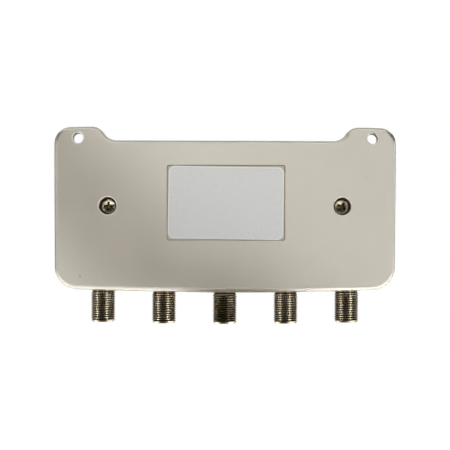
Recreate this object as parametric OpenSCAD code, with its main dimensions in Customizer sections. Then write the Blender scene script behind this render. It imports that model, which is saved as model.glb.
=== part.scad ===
// TV signal amplifier: a two-part plastic case with wall ears and five threaded coaxial ports.
// Millimetres. +Z is up and the back face looks along -Y, so the front is at +Y.
// The origin is midway between the two ear holes, on the plane of the back face.

/* [Case] */
// Width of the case across its sides, at the back edge
case_w = 132; // [130:1:150]
// Height from the top edge to the lowest point of the bottom edge
case_h = 58.5; // [56:0.1:70]
// Depth of the closed case, back face to front face
case_d = 27; // [26:0.5:36]
// Depth of the back cover, from its face to the parting line through the port axes
parting_y = 11.5; // [11:0.1:13]
// Wall thickness of both covers
wall_t = 2; // [1.6:0.1:2.4]
// Rounding of the back edge
edge_r = 1.6; // [0.8:0.1:2]
// Rounding of the front edge
front_edge_r = 2.5; // [1:0.1:3]
// Radius of the two lower corners
corner_r = 9; // [6:0.5:12]
// Radius of the slow bow of the bottom edge
bow_r = 1800; // [1200:50:4000]
// How far each side draws in from its ear down to the lower corner
side_taper = 0.3; // [0:0.05:0.6]
// How far the walls lean out between an edge and the parting line
wall_lean = 0.35; // [0.1:0.05:0.6]
// Height of the tongue that locates the two covers
tongue_h = 2; // [1:0.1:3]
// Thickness of the tongue
tongue_t = 0.9; // [0.6:0.1:1.2]
// Gap between the tongue and the wall that it slides behind
tongue_gap = 0.15; // [0.1:0.05:0.3]

/* [Wall ears] */
// Width of an ear, from the side of the case to the start of its inner blend
ear_w = 14.4; // [13.6:0.2:18]
// Height of the ears above the top edge
ear_rise = 5.3; // [4.5:0.1:7]
// How far the top of an ear falls towards its outer corner
ear_fall = 0.2; // [0:0.05:0.5]
// Thickness of the ears
ear_t = 4.3; // [3:0.1:5]
// Radius of the outer corner of an ear
ear_corner_r = 6.4; // [4:0.2:8]
// Radius of both arcs of the blend from an ear down to the top edge
ear_blend_r = 5.8; // [4.5:0.1:7]
// Diameter of the ear holes
ear_hole_d = 4; // [3:0.1:5]
// Distance of an ear hole in from the side of the case
ear_hole_inset = 9.3; // [8.5:0.1:11]
// Distance of an ear hole below the top of its ear
ear_hole_drop = 4.55; // [4:0.05:5.5]
// Chamfer on the back rim of the ear holes
ear_hole_chamfer = 0.35; // [0.1:0.05:0.6]
// Room left beside and below an ear hole for the head of a wall screw and its driver
driver_room = 8; // [7.5:0.1:9]
// Inner corner radius of that room
room_r = 3.4; // [2:0.1:5]

/* [Case screws] */
// Distance of a screw in from the side of the case
screw_inset = 20.8; // [20:0.1:24]
// Distance of the screws below the top edge
screw_drop = 25.3; // [24:0.05:28]
// Diameter of the wells that the screw heads sit in
well_d = 6.7; // [6.4:0.1:7.5]
// Rim chamfer of the wells
well_chamfer = 0.4; // [0.1:0.05:0.6]
// Diameter of a screw head
head_d = 6.2; // [5:0.1:6.3]
// Height of a screw head
head_h = 2; // [1.6:0.1:2.4]
// Depth of the top of a screw head below the back face
head_sink = 3.3; // [2.5:0.1:3.8]
// Diameter of the screw shank over its thread
shank_d = 3; // [2.6:0.1:3.2]
// Length of the screw under its head
shank_l = 14; // [10:0.5:15]
// Thickness of the seat under a screw head
seat_t = 2; // [1.5:0.1:2.5]
// Wall of the tubes that the screws pass through
tube_wall = 1.6; // [1.2:0.1:2]
// Wall of the bosses that the screws hold in
boss_wall = 2; // [1.6:0.1:2.2]

/* [Label] */
// Width of the label
label_w = 44.5; // [36:0.5:50]
// Height of the label
label_h = 28; // [22:0.5:32]
// Thickness of the label
label_t = 0.15; // [0.1:0.05:0.3]
// Corner radius of the label
label_corner_r = 2.4; // [1:0.1:4]
// Distance of the middle of the label below the top edge
label_drop = 24.1; // [22:0.05:28]
// Distance of the label and its recess to the right of the middle
label_shift = 0.35; // [0:0.05:1]
// Turn of the label in its recess, in degrees clockwise
label_turn = 0.45; // [0:0.05:0.5]
// Width of the recess floor left showing round the label
recess_margin = 0.5; // [0.4:0.05:1]
// Depth of the recess
recess_depth = 0.4; // [0.3:0.05:0.6]
// Corner radius of the recess
recess_corner_r = 0.9; // [0.5:0.1:2]

/* [Ports] */
// Distance between neighbouring ports
port_gap = 24; // [22:0.1:25]
// Length of a port below the case
port_l = 12.1; // [10:0.1:15]
// Diameter over the crests of the port thread
thread_d = 9.525; // [9.3:0.005:9.6]
// Distance between neighbouring thread crests
thread_pitch = 0.794; // [0.7:0.002:1]
// Width of a crest
crest_w = 0.3; // [0.2:0.05:0.4]
// Gap from the last crest of a port to the wall
neck_gap = 0.4; // [0.3:0.05:0.6]
// Chamfer on the mouth of a port
mouth_chamfer = 0.8; // [0.5:0.1:1]
// Diameter of the bore that holds the bead
bead_bore_d = 6.6; // [6:0.1:6.8]
// Depth of the bead below the mouth
bead_sink = 0.6; // [0.3:0.1:1.5]
// Length of the bead
bead_l = 9; // [7:0.5:10]
// Diameter of the hole that the centre wire enters
wire_hole_d = 1.4; // [1.2:0.1:1.6]
// Width of the square block behind the bottom wall
block_w = 11.6; // [11:0.1:12.4]
// Thickness of that block
block_h = 3.2; // [2.5:0.1:4]
// Length of the round body behind the block
rear_l = 5; // [4:0.1:5.5]
// Gap round the neck of a port where it passes through the wall
port_clearance = 0.2; // [0.1:0.05:0.3]

/* [Board] */
// Thickness of the circuit board
board_t = 1.6; // [1:0.1:1.6]
// Gap from the board to the side walls
board_side_gap = 4; // [3:0.1:5]
// Gap from the board to the bottom wall and to the driver rooms above
board_end_gap = 1.2; // [0.8:0.1:2]
// Diameter of the posts that carry the board
post_d = 5.6; // [5:0.1:6]
// Distance of the posts in from the board's edges
post_inset = 4.5; // [4:0.1:5]
// Diameter of the board screws
board_screw_d = 2.2; // [2:0.1:2.5]
// Length of the board screws under the head
board_screw_l = 5; // [4:0.1:5]
// Height of the shield above the board
shield_h = 6; // [5:0.1:7]
// Thickness of the shield's tin plate
shield_t = 0.4; // [0.3:0.05:0.6]
// Diameter of the power lamp
lamp_d = 3; // [2.5:0.1:4]

/* [Hidden] */
$fn = 48;

// Clearance of a loose fit between pieces that don't move
fit = 0.1;
// Overshoot of a cut past the face that it opens
over = 1;
// Depth by which a raised feature is rooted in its wall
root = 0.5;

// Steps of the arcs in the case outline
arc_n = 8;
// Steps of the rounded edges
edge_n = 4;

case_colour = "#C6C0B3";
label_colour = "#CDCDCB";
nickel_colour = "#9A948A";
screw_colour = "#8A7F6C";
bead_colour = "#EDEBE4";
brass_colour = "#C8A04A";
board_colour = "#2F6B3F";
tin_colour = "#B9BBBD";
dark_colour = "#2A2A2C";
ferrite_colour = "#4A4A4D";
ceramic_colour = "#6B5A45";
copper_colour = "#8A4B2A";
lamp_colour = "#58C46A";

// Heights of the outline
half_w = case_w / 2;
ear_top = ear_hole_drop;
body_top = ear_top - ear_rise;
body_low = body_top - case_h;
ear_hole_x = half_w - ear_hole_inset;

// The bow and the lower corners are tangent circles
bow_z = body_low + bow_r;
corner_x = half_w - side_taper - corner_r;
corner_z = bow_z - sqrt(pow(bow_r - corner_r, 2) - pow(corner_x, 2));
bow_angle = atan(corner_x / (bow_z - corner_z));

// The blend of an ear is two equal arcs that meet at this angle
blend_angle = acos(1 - ear_rise / (2 * ear_blend_r));
blend_out_x = half_w - ear_w;
blend_in_x = blend_out_x - 2 * ear_blend_r * sin(blend_angle);

// Corner of the driver room
room_x = ear_hole_x - driver_room;
room_z = -driver_room;

// Inside of the case
floor_z = corner_z - corner_r + wall_t;
ceiling_z = body_top - wall_t;
front_in_y = case_d - wall_t;

// Case screws
screw_x = half_w - screw_inset;
screw_z = body_top - screw_drop;
seat_y = head_sink + head_h;
boss_y = seat_y + seat_t;
tube_d = well_d + 2 * tube_wall;
boss_d = shank_d + 2 * boss_wall;
shank_gap = 0.2;
boss_gap = 0.5;
recess_cross_w = 0.8;
recess_cross_l = 3.2;
recess_cross_h = 1.1;

// Label
label_z = body_top - label_drop;
recess_w = label_w + 2 * recess_margin;
recess_h = label_h + 2 * recess_margin;

// Ports
port_x = [for (i = [-2 : 2]) i * port_gap];
port_lift = [for (x = port_x) bow_r - sqrt(pow(bow_r, 2) - pow(x, 2))];
thread_r = thread_d / 2;
groove_depth = (thread_pitch - crest_w) / 2 / tan(30);
neck_r = thread_r - groove_depth;
neck_z = body_low - wall_lean;
mouth_z = neck_z - port_l;
thread_end_z = neck_z - neck_gap;
block_z = floor_z + fit;
rear_z = block_z + block_h;
tail_z = rear_z + rear_l;
bead_z = mouth_z + bead_sink;
shoulder_z = bead_z + bead_l;
thread_z = mouth_z + mouth_chamfer;
turns = floor((thread_end_z - thread_z - crest_w) / thread_pitch);
bead_r = bead_bore_d / 2 - fit;
rear_wall = 0.9;
rear_r = bead_bore_d / 2 + rear_wall;
funnel = 0.6;
contact_r = 1.1;
contact_sink = 2.5;
contact_end = 1.5;
tail_r = 0.4;
tail_out = 1.2;
tail_top_z = tail_z + tail_out;
tail_through = 0.8;
tail_bore_r = 1;
leg_r = 0.6;
leg_inset = 1.6;
leg_x = block_w / 2 - leg_inset;
leg_through = 0.8;

// Circuit board, with its parts on the back side
board_y = parting_y + block_w / 2;
board_front_y = board_y + board_t;
board_w = case_w - 2 * wall_t - 2 * board_side_gap;
board_z0 = floor_z + board_end_gap;
board_z1 = room_z - wall_t - board_end_gap;
post_x = board_w / 2 - post_inset;
post_places = [
    [-post_x, board_z1 - post_inset],
    [post_x, board_z1 - post_inset],
    [-1.5 * port_gap, tail_z - post_inset],
    [1.5 * port_gap, tail_z - post_inset]
];
board_screw_head_d = 2 * board_screw_d;
board_screw_head_h = 1.5;
board_hole_gap = 0.15;

// Shield over the signal circuit
shield_edge_gap = 3;
shield_w = 2 * screw_x - boss_d - 4 * shield_edge_gap;
shield_z0 = tail_top_z + shield_edge_gap;
shield_z1 = board_z1 - shield_edge_gap;
shield_mid_z = (shield_z0 + shield_z1) / 2;
shield_y = board_y - shield_h;
lid_skirt = 2;

// Parts on the board
chip_w = 5;
chip_d = 4;
chip_h = 1.6;
chip_x = -shield_w / 4;
lead_w = 0.45;
lead_l = 1;
lead_pitch = 1.27;
core_w = 4.2;
core_h = 3;
core_d = 3.4;
core_hole_d = 1.1;
core_gap = 7.5;
part_gap = 1;
part_w = 2;
part_d = 1.25;
part_h = 0.6;
choke_d = 7;
choke_h = 6;
choke_flange_h = 1;
choke_rim = 0.4;
can_d = 6.3;
can_h = 7.7;
can_base_w = 6.7;
can_base_h = 1;
package_w = 6.5;
package_d = 3.5;
package_h = 1.6;
tab_l = 3;
pin_w = 0.7;
pin_l = 2.4;
pin_gap = 2.3;
supply_inset = 6.5;
supply_x = board_w / 2 - supply_inset;
supply_z = tail_top_z + tail_r + part_gap;
package_z = supply_z + (package_d + pin_l) / 2;
choke_z = package_z + (package_d + tab_l + choke_d) / 2 + part_gap;
lamp_flange_h = 1;
lamp_rim = 0.4;
lamp_flange_d = lamp_d + 2 * lamp_rim;
lamp_z = board_z1 - 2 * post_inset - lamp_d;

// Points of an arc, in [x, z]; first = 1 leaves out a start point that is already there
function arc(x, z, r, a0, a1, n, first = 0) =
    [for (i = [first : n]) let (a = a0 + (a1 - a0) * i / n) [x + r * cos(a), z + r * sin(a)]];

// A whole outline from its right half, which starts at the bottom on the middle line
function both_halves(half) =
    concat(half, [for (i = [len(half) - 1 : -1 : 1]) [-half[i][0], half[i][1]]]);

// Bottom and lower corner of the case, moved outwards by grow
function low_half(grow) = concat(
    arc(0, bow_z, bow_r + grow, -90, bow_angle - 90, arc_n),
    arc(corner_x, corner_z, corner_r + grow, bow_angle - 90, 0, arc_n, 1)
);

// Outline of the back with its ears
function ear_outline(grow) = both_halves(concat(
    low_half(grow),
    arc(half_w - ear_corner_r, ear_top - ear_fall - ear_corner_r, ear_corner_r + grow, 0, 90, arc_n),
    arc(blend_out_x, ear_top - ear_blend_r, ear_blend_r + grow, 90, 90 + blend_angle, arc_n),
    arc(blend_in_x, body_top + ear_blend_r, ear_blend_r - grow, 270 + blend_angle, 270, arc_n, 1)
));

// Floor and inner wall of the driver room, up to the top edge
function room_half(grow) = concat(
    [[half_w + grow, room_z + grow]],
    arc(room_x + room_r, room_z + room_r, room_r - grow, 270, 180, arc_n),
    [[room_x + grow, body_top + grow]]
);

// Outline of the box in front of the ears, with a driver room in each upper corner
function box_outline(grow) = both_halves(concat(low_half(grow), room_half(grow)));

// Outline of the space inside the case, moved inwards by inset
function inside_outline(inset) =
    let (
        x = half_w - wall_t - inset,
        r = corner_r - wall_t - inset,
        step_x = room_x - wall_t - inset,
        step_z = room_z - wall_t - inset,
        low = floor_z + inset,
        high = ceiling_z - inset
    )
    both_halves(concat(
        [[0, low]],
        arc(x - side_taper - r, low + r, r, -90, 0, arc_n),
        [[x, step_z], [step_x, step_z], [step_x, high]]
    ));

// A rectangle with round corners about the origin, in [x, z]
function round_rectangle(w, h, r) = concat(
    arc(w / 2 - r, h / 2 - r, r, 0, 90, arc_n),
    arc(r - w / 2, h / 2 - r, r, 90, 180, arc_n),
    arc(r - w / 2, r - h / 2, r, 180, 270, arc_n),
    arc(w / 2 - r, r - h / 2, r, 270, 360, arc_n)
);

// Profile of a cover's wall, in [depth, grow], from its rounded edge to the parting line.
// Both ends run past the cover, so that flat faces cut them.
function wall_profile(r, length) =
    let (
        edge = [for (i = [0 : edge_n]) let (a = 90 * i / edge_n) [r * (1 - cos(a)), r * (sin(a) - 1)]],
        slope = wall_lean / (length - r)
    )
    concat(
        [2 * edge[0] - edge[1]],
        [for (i = [1 : edge_n]) edge[i]],
        [[length + over, wall_lean + slope * over]]
    );

// What lies between two depths
module between(y0, y1) {
    intersection() {
        children();
        translate([-case_w, y0, -2 * case_h])
            cube([2 * case_w, y1 - y0, 3 * case_h]);
    }
}

// A solid through outlines with equal point counts, one at each depth
module loft(outlines, depths) {
    n = len(outlines[0]);
    last = len(outlines) - 1;
    points = [for (i = [0 : last]) for (p = outlines[i]) [p[0], depths[i], p[1]]];
    sides = [
        for (i = [0 : last - 1])
            for (j = [0 : n - 1])
                let (k = (j + 1) % n)
                [i * n + j, i * n + k, (i + 1) * n + k, (i + 1) * n + j]
    ];
    back = [for (j = [n - 1 : -1 : 0]) j];
    front = [for (j = [0 : n - 1]) last * n + j];
    polyhedron(points = points, faces = concat([back, front], sides), convexity = 8);
}

// A flat outline in [x, z], given thickness from depth y0 to depth y1
module slab(y0, y1) {
    translate([0, y1, 0])
        rotate([90, 0, 0])
            linear_extrude(height = y1 - y0)
                children();
}

// A round bar along the depth
module bar_y(x, z, d, y0, y1) {
    translate([x, y0, z])
        rotate([-90, 0, 0])
            cylinder(h = y1 - y0, d = d);
}

// A round hole sunk from the back face to depth y, with a chamfered rim
module sunk_hole(x, z, d, chamfer, y) {
    r = d / 2;
    translate([x, 0, z])
        rotate([-90, 0, 0])
            rotate_extrude()
                polygon([[0, -over], [r + chamfer + over, -over], [r, chamfer], [r, y], [0, y]]);
}

// A block centred on x and z, from depth y0 to depth y1
module block_y(x, z, w, h, y0, y1) {
    translate([x - w / 2, y0, z - h / 2])
        cube([w, y1 - y0, h]);
}

// Half-round passages of the ports through the bottom wall
module port_passages() {
    for (x = port_x)
        translate([x, parting_y, mouth_z])
            cylinder(h = block_z - mouth_z, r = neck_r + port_clearance);
}

// The back with its rounded edge, as deep as the back cover all over
module back_skin() {
    profile = wall_profile(edge_r, parting_y);
    between(0, parting_y)
        loft([for (p = profile) ear_outline(p[1])], [for (p = profile) p[0]]);
}

// What is cut away in front of the ears: all above the top edge, and the driver rooms
module ear_cut() {
    right = room_half(wall_lean);
    far_x = half_w + wall_lean + over;
    far_z = ear_top + wall_lean + over;
    step_z = body_top + wall_lean + fit;
    slab(ear_t, parting_y + over)
        polygon(concat(
            [[-far_x, far_z], [-far_x, right[0][1]]],
            [for (i = [1 : len(right) - 2]) [-right[i][0], right[i][1]]],
            [[-room_x - wall_lean, step_z], [room_x + wall_lean, step_z]],
            [for (i = [len(right) - 2 : -1 : 1]) right[i]],
            [[far_x, right[0][1]], [far_x, far_z]]
        ));
}

module back_cover() {
    color(case_colour)
        difference() {
            union() {
                difference() {
                    back_skin();
                    ear_cut();
                    slab(wall_t, parting_y + over)
                        polygon(inside_outline(0));
                }
                for (side = [-1, 1])
                    bar_y(side * screw_x, screw_z, tube_d, wall_t - root, boss_y);
            }
            for (side = [-1, 1]) {
                sunk_hole(side * ear_hole_x, 0, ear_hole_d, ear_hole_chamfer, ear_t + over);
                sunk_hole(side * screw_x, screw_z, well_d, well_chamfer, seat_y);
                bar_y(side * screw_x, screw_z, shank_d + 2 * shank_gap, seat_y - over, boss_y + over);
            }
            translate([label_shift, 0, label_z])
                slab(-over, recess_depth)
                    polygon(round_rectangle(recess_w, recess_h, recess_corner_r));
            port_passages();
        }
}

module front_skin() {
    towards_back = wall_profile(front_edge_r, case_d - parting_y);
    profile = [for (i = [len(towards_back) - 1 : -1 : 0]) towards_back[i]];
    between(parting_y, case_d)
        loft([for (p = profile) box_outline(p[1])], [for (p = profile) case_d - p[0]]);
}

// Tongue along the top and the sides, rooted in a thicker band of the front wall
module tongue() {
    intersection() {
        union() {
            slab(parting_y - tongue_h, parting_y + tongue_h)
                difference() {
                    polygon(inside_outline(tongue_gap));
                    polygon(inside_outline(tongue_gap + tongue_t));
                }
            slab(parting_y, parting_y + tongue_h)
                difference() {
                    polygon(inside_outline(-root));
                    polygon(inside_outline(tongue_gap + tongue_t));
                }
        }
        translate([-case_w, 0, tail_top_z])
            cube([2 * case_w, case_d, ear_top - tail_top_z]);
    }
}

module front_cover() {
    color(case_colour)
        difference() {
            union() {
                difference() {
                    front_skin();
                    slab(parting_y - over, front_in_y)
                        polygon(inside_outline(0));
                }
                tongue();
                for (side = [-1, 1])
                    bar_y(side * screw_x, screw_z, boss_d, boss_y, front_in_y + root);
                for (p = post_places)
                    bar_y(p[0], p[1], post_d, board_front_y, front_in_y + root);
            }
            for (side = [-1, 1])
                bar_y(side * screw_x, screw_z, shank_d + fit, boss_y - over, seat_y + shank_l + root);
            for (p = post_places)
                bar_y(p[0], p[1], board_screw_d + fit, board_front_y - over,
                    board_y + board_screw_l + root);
            bar_y(supply_x, lamp_z, lamp_d + 2 * fit, front_in_y - over, case_d + over);
            port_passages();
        }
}

module blank_label() {
    color(label_colour)
        translate([label_shift, 0, label_z])
            rotate([0, label_turn, 0])
                slab(recess_depth - label_t, recess_depth)
                    polygon(round_rectangle(label_w, label_h, label_corner_r));
}

// Cross recess in the top of a screw head that faces the back
module cross_recess(x, z, y) {
    block_y(x, z, recess_cross_w, recess_cross_l, y - over, y + recess_cross_h);
    block_y(x, z, recess_cross_l, recess_cross_w, y - over, y + recess_cross_h);
}

// Pan-head screw whose head faces the back, with its head's top at depth y
module pan_screw(x, z, y, head, height, shank, length) {
    round_r = height / 2;
    tip_l = shank / 2;
    difference() {
        translate([x, y, z])
            rotate([-90, 0, 0])
                rotate_extrude()
                    polygon(concat(
                        [[0, 0]],
                        [for (a = [0 : 30 : 90]) [
                            head / 2 - round_r * (1 - sin(a)),
                            round_r * (1 - cos(a))
                        ]],
                        [
                            [head / 2, height],
                            [shank / 2, height],
                            [shank / 2, height + length - tip_l],
                            [shank / 6, height + length],
                            [0, height + length]
                        ]
                    ));
        cross_recess(x, z, y);
    }
}

module case_screw(side) {
    color(screw_colour)
        pan_screw(side * screw_x, screw_z, head_sink, head_d, head_h, shank_d, shank_l);
}

module board_screws() {
    color(screw_colour)
        for (p = post_places)
            pan_screw(p[0], p[1], board_y - board_screw_head_h, board_screw_head_d,
                board_screw_head_h, board_screw_d, board_screw_l);
}

// Profile of the threaded barrel and its neck, in [r, z], from the mouth up to the block.
// The lift moves the thread up with the bowed bottom edge, and the block stays on the flat floor.
function thread_profile(lift) = concat(
    [
        [bead_bore_d / 2, mouth_z + lift],
        [thread_r - mouth_chamfer, mouth_z + lift],
        [thread_r, thread_z + lift]
    ],
    [for (i = [0 : turns - 1])
        for (p = [[0, crest_w], [-groove_depth, (crest_w + thread_pitch) / 2], [0, thread_pitch]])
            [thread_r + p[0], thread_z + lift + i * thread_pitch + p[1]]],
    [
        [thread_r, thread_end_z + lift],
        [neck_r, thread_end_z + lift],
        [neck_r, block_z + root],
        [bead_bore_d / 2, block_z + root]
    ]
);

// Threaded barrel with its block, its round rear body and its legs into the board
module port_barrel(i) {
    bore_z = mouth_z + port_lift[i] - over;
    bore_end_z = shoulder_z + port_lift[i];
    color(nickel_colour)
        translate([port_x[i], parting_y, 0])
            difference() {
                union() {
                    rotate_extrude()
                        polygon(thread_profile(port_lift[i]));
                    translate([-block_w / 2, -block_w / 2, block_z])
                        cube([block_w, block_w, block_h]);
                    translate([0, 0, rear_z - root])
                        cylinder(h = rear_l + root, r = rear_r);
                    for (x = [-leg_x, leg_x])
                        bar_y(x, block_z + block_h / 2, 2 * leg_r, block_w / 2 - root,
                            block_w / 2 + board_t + leg_through);
                }
                translate([0, 0, bore_z])
                    cylinder(h = bore_end_z - bore_z, d = bead_bore_d);
                translate([0, 0, bore_end_z - over])
                    cylinder(h = tail_z - bore_end_z + 2 * over, r = tail_bore_r);
            }
}

// Insulating bead with a funnel for the centre wire and a room for the contact
module port_bead(i) {
    wire_r = wire_hole_d / 2;
    room = contact_r + fit;
    color(bead_colour)
        translate([port_x[i], parting_y, port_lift[i]])
            rotate_extrude()
                polygon([
                    [wire_r + funnel, bead_z],
                    [bead_r, bead_z],
                    [bead_r, shoulder_z],
                    [room, shoulder_z],
                    [room, bead_z + contact_sink],
                    [wire_r, bead_z + contact_sink],
                    [wire_r, bead_z + funnel]
                ]);
}

// Spring contact, with a tail that bends down to the board
module port_contact(i) {
    socket_l = bead_l - contact_sink - fit;
    socket_z = bead_z + port_lift[i] + contact_sink + fit;
    wire_depth = socket_l - contact_end;
    color(brass_colour)
        translate([port_x[i], parting_y, 0]) {
            difference() {
                translate([0, 0, socket_z])
                    cylinder(h = socket_l, r = contact_r);
                translate([0, 0, socket_z - over])
                    cylinder(h = wire_depth + over, d = wire_hole_d - 2 * fit);
            }
            translate([0, 0, socket_z + socket_l - root])
                cylinder(h = tail_top_z - socket_z - socket_l + root, r = tail_r);
            translate([0, 0, tail_top_z])
                sphere(r = tail_r);
            bar_y(0, tail_top_z, 2 * tail_r, 0, block_w / 2 + board_t + tail_through);
        }
}

module circuit_board() {
    color(board_colour)
        difference() {
            block_y(0, (board_z0 + board_z1) / 2, board_w, board_z1 - board_z0, board_y, board_front_y);
            for (side = [-1, 1])
                bar_y(side * screw_x, screw_z, boss_d + 2 * boss_gap, board_y - over, board_front_y + over);
            for (p = post_places)
                bar_y(p[0], p[1], board_screw_d + 2 * board_hole_gap, board_y - over,
                    board_front_y + over);
            for (x = port_x) {
                bar_y(x, tail_top_z, 2 * (tail_r + board_hole_gap), board_y - over,
                    board_front_y + over);
                for (dx = [-leg_x, leg_x])
                    bar_y(x + dx, block_z + block_h / 2, 2 * (leg_r + board_hole_gap), board_y - over,
                        board_front_y + over);
            }
        }
}

// Four tin walls that stand on the board
module shield_frame() {
    h = shield_z1 - shield_z0;
    color(tin_colour)
        difference() {
            block_y(0, shield_mid_z, shield_w, h, shield_y, board_y);
            block_y(0, shield_mid_z, shield_w - 2 * shield_t, h - 2 * shield_t, shield_y - over,
                board_y + over);
        }
}

// Lid with a short skirt round the frame
module shield_lid() {
    w = shield_w + 2 * shield_t + 2 * fit;
    h = shield_z1 - shield_z0 + 2 * shield_t + 2 * fit;
    color(tin_colour)
        difference() {
            block_y(0, shield_mid_z, w, h, shield_y - shield_t, shield_y + lid_skirt);
            block_y(0, shield_mid_z, w - 2 * shield_t, h - 2 * shield_t, shield_y,
                shield_y + lid_skirt + over);
        }
}

// Moulded chip with four leads on each side
module amplifier_chip() {
    color(dark_colour) {
        block_y(chip_x, shield_mid_z, chip_d, chip_w, board_y - fit - chip_h, board_y - fit);
        for (side = [-1, 1])
            for (i = [-1.5 : 1.5])
                block_y(chip_x + side * chip_d / 2, shield_mid_z + i * lead_pitch, 2 * lead_l, lead_w,
                    board_y - chip_h / 2, board_y);
    }
}

// Ferrite blocks with two holes, one for each split of the signal
module splitter_cores() {
    color(ferrite_colour)
        for (i = [0 : 2])
            difference() {
                block_y(i * core_gap, shield_mid_z, core_w, core_d, board_y - core_h, board_y);
                for (side = [-1, 1])
                    translate([i * core_gap + side * core_w / 4, board_y - core_h / 2,
                        shield_mid_z - core_d / 2 - over])
                        cylinder(h = core_d + 2 * over, d = core_hole_d);
            }
}

// Rows of small resistors and capacitors above and below the cores
module chip_parts() {
    color(ceramic_colour)
        for (row = [-1, 1])
            for (i = [-1 : 3])
                block_y((i - 0.5) * core_gap, shield_mid_z + row * (core_d + part_w), part_w, part_d,
                    board_y - part_h, board_y);
}

// Drum core with its winding between two flanges
module power_choke() {
    wind_r = choke_d / 2 - choke_rim;
    color(copper_colour)
        translate([-supply_x, board_y, choke_z])
            rotate([90, 0, 0])
                rotate_extrude()
                    polygon([
                        [0, 0],
                        [choke_d / 2, 0],
                        [choke_d / 2, choke_flange_h],
                        [wind_r, choke_flange_h],
                        [wind_r, choke_h - choke_flange_h],
                        [choke_d / 2, choke_h - choke_flange_h],
                        [choke_d / 2, choke_h],
                        [0, choke_h]
                    ]);
}

// Two aluminium cans on square bases
module filter_capacitors() {
    color(tin_colour)
        for (i = [0, 1]) {
            z = supply_z + can_base_w / 2 + i * (can_base_w + part_gap);
            block_y(supply_x, z, can_base_w, can_base_w, board_y - can_base_h, board_y);
            bar_y(supply_x, z, can_d, board_y - can_h, board_y - can_base_h / 2);
        }
}

// Small power package with a tab and three leads
module voltage_regulator() {
    x = -supply_x;
    lead_y = board_y - package_h / 4;
    color(dark_colour) {
        block_y(x, package_z, package_w, package_d, board_y - package_h, board_y);
        block_y(x, package_z + package_d / 2, package_w / 2, tab_l, lead_y, board_y);
        for (i = [-1 : 1])
            block_y(x + i * pin_gap, package_z - package_d / 2, pin_w, pin_l, lead_y, board_y);
    }
}

// Lamp on the front side of the board, flush in its hole in the front cover
module power_lamp() {
    color(lamp_colour) {
        bar_y(supply_x, lamp_z, lamp_flange_d, board_front_y, board_front_y + lamp_flange_h);
        bar_y(supply_x, lamp_z, lamp_d, board_front_y, case_d - lamp_d / 2);
        translate([supply_x, case_d - lamp_d / 2, lamp_z])
            sphere(d = lamp_d);
    }
}

back_cover();
front_cover();
blank_label();
case_screw(-1);  // case_screw_left
case_screw(1);  // case_screw_right
for (i = [0 : 4]) {
    port_barrel(i);
    port_bead(i);
    port_contact(i);
}
circuit_board();
board_screws();
shield_frame();
shield_lid();
amplifier_chip();
splitter_cores();
chip_parts();
power_choke();
filter_capacitors();
voltage_regulator();
power_lamp();
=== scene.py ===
# %% [markdown]
# # A TV signal amplifier for the wall
#
# This lesson dresses one small product in Blender: a flat plastic case with two wall ears, two
# sunk screws, a blank label and a row of five threaded coaxial ports. The solids come from a CAD
# model, which fixes every size and place. Blender adds what the eye sees: smooth edges, real
# screw threads, and a finish for every surface.
#
# The first step loads the CAD model as a frame. Nothing in the frame is moved. A piece that
# looks better as a mesh of its own replaces its CAD node, and the others only get a material.

# %% Load the frame
import math

import bmesh
import bpy
from mathutils import Matrix, Vector


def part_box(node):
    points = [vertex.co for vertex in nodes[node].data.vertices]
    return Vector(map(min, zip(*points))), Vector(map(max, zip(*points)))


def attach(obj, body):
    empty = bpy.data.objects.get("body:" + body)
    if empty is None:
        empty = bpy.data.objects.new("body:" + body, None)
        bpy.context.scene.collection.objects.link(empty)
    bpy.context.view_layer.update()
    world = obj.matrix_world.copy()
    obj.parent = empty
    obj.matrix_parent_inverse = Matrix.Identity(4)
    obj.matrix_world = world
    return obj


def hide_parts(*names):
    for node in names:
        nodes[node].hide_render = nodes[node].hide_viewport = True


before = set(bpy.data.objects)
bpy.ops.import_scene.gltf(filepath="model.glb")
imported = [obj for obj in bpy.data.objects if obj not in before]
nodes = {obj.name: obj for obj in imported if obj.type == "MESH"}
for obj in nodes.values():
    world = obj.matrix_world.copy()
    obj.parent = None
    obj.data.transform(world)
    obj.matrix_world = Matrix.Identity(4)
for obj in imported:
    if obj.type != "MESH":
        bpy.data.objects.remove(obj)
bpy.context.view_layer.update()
MM = 0.001

# %% [markdown]
# ## Camera
#
# The object is seen square from behind, from a point that is level with its lower edge. That is
# why the rounded lower edge shows as a bright band while the upper edge is only a thin line. A
# camera could be tilted up to centre the picture, but then the sides of the case would lean
# together. A view camera keeps them upright with a shift, so this camera looks straight along +Y
# and is shifted by just what the framing needs.

# %% Place the camera
PHOTO_PX = 450
FOCAL_PX = 1092
FOOT_PX = (224.8, 283.65)
VIEW_DISTANCE = 420
VIEW_HEIGHT = -55.95
ROLL_DEGREES = 0.17  # the picture leans by this much
SENSOR_MM = 36


def put(name, data):
    """A new object in the scene, at the origin."""
    made = bpy.data.objects.new(name, data)
    bpy.context.scene.collection.objects.link(made)
    return made


camera = put("camera", bpy.data.cameras.new("camera"))
bpy.context.scene.camera = camera
camera.location = Vector((0, -VIEW_DISTANCE, VIEW_HEIGHT)) * MM
camera.rotation_euler = (math.radians(90), math.radians(-ROLL_DEGREES), 0)
camera.data.sensor_width = SENSOR_MM
camera.data.lens = SENSOR_MM * FOCAL_PX / PHOTO_PX
camera.data.shift_x = (PHOTO_PX / 2 - FOOT_PX[0]) / PHOTO_PX
camera.data.shift_y = (FOOT_PX[1] - PHOTO_PX / 2) / PHOTO_PX
camera.data.clip_start = 0.01
print("lens", round(camera.data.lens, 1), "mm, shift", round(camera.data.shift_y, 3))

# %% [markdown]
# ## Helpers for node trees
#
# Materials and Geometry Nodes are both trees of nodes. One small function adds a node, sets its
# options and fills its inputs: a socket is linked, and anything else is a plain value. Another
# turns the hex colours that people read off a screen into the linear colours that light is
# computed in. The last makes what most finishes share: spots of a real size between two tones.


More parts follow.
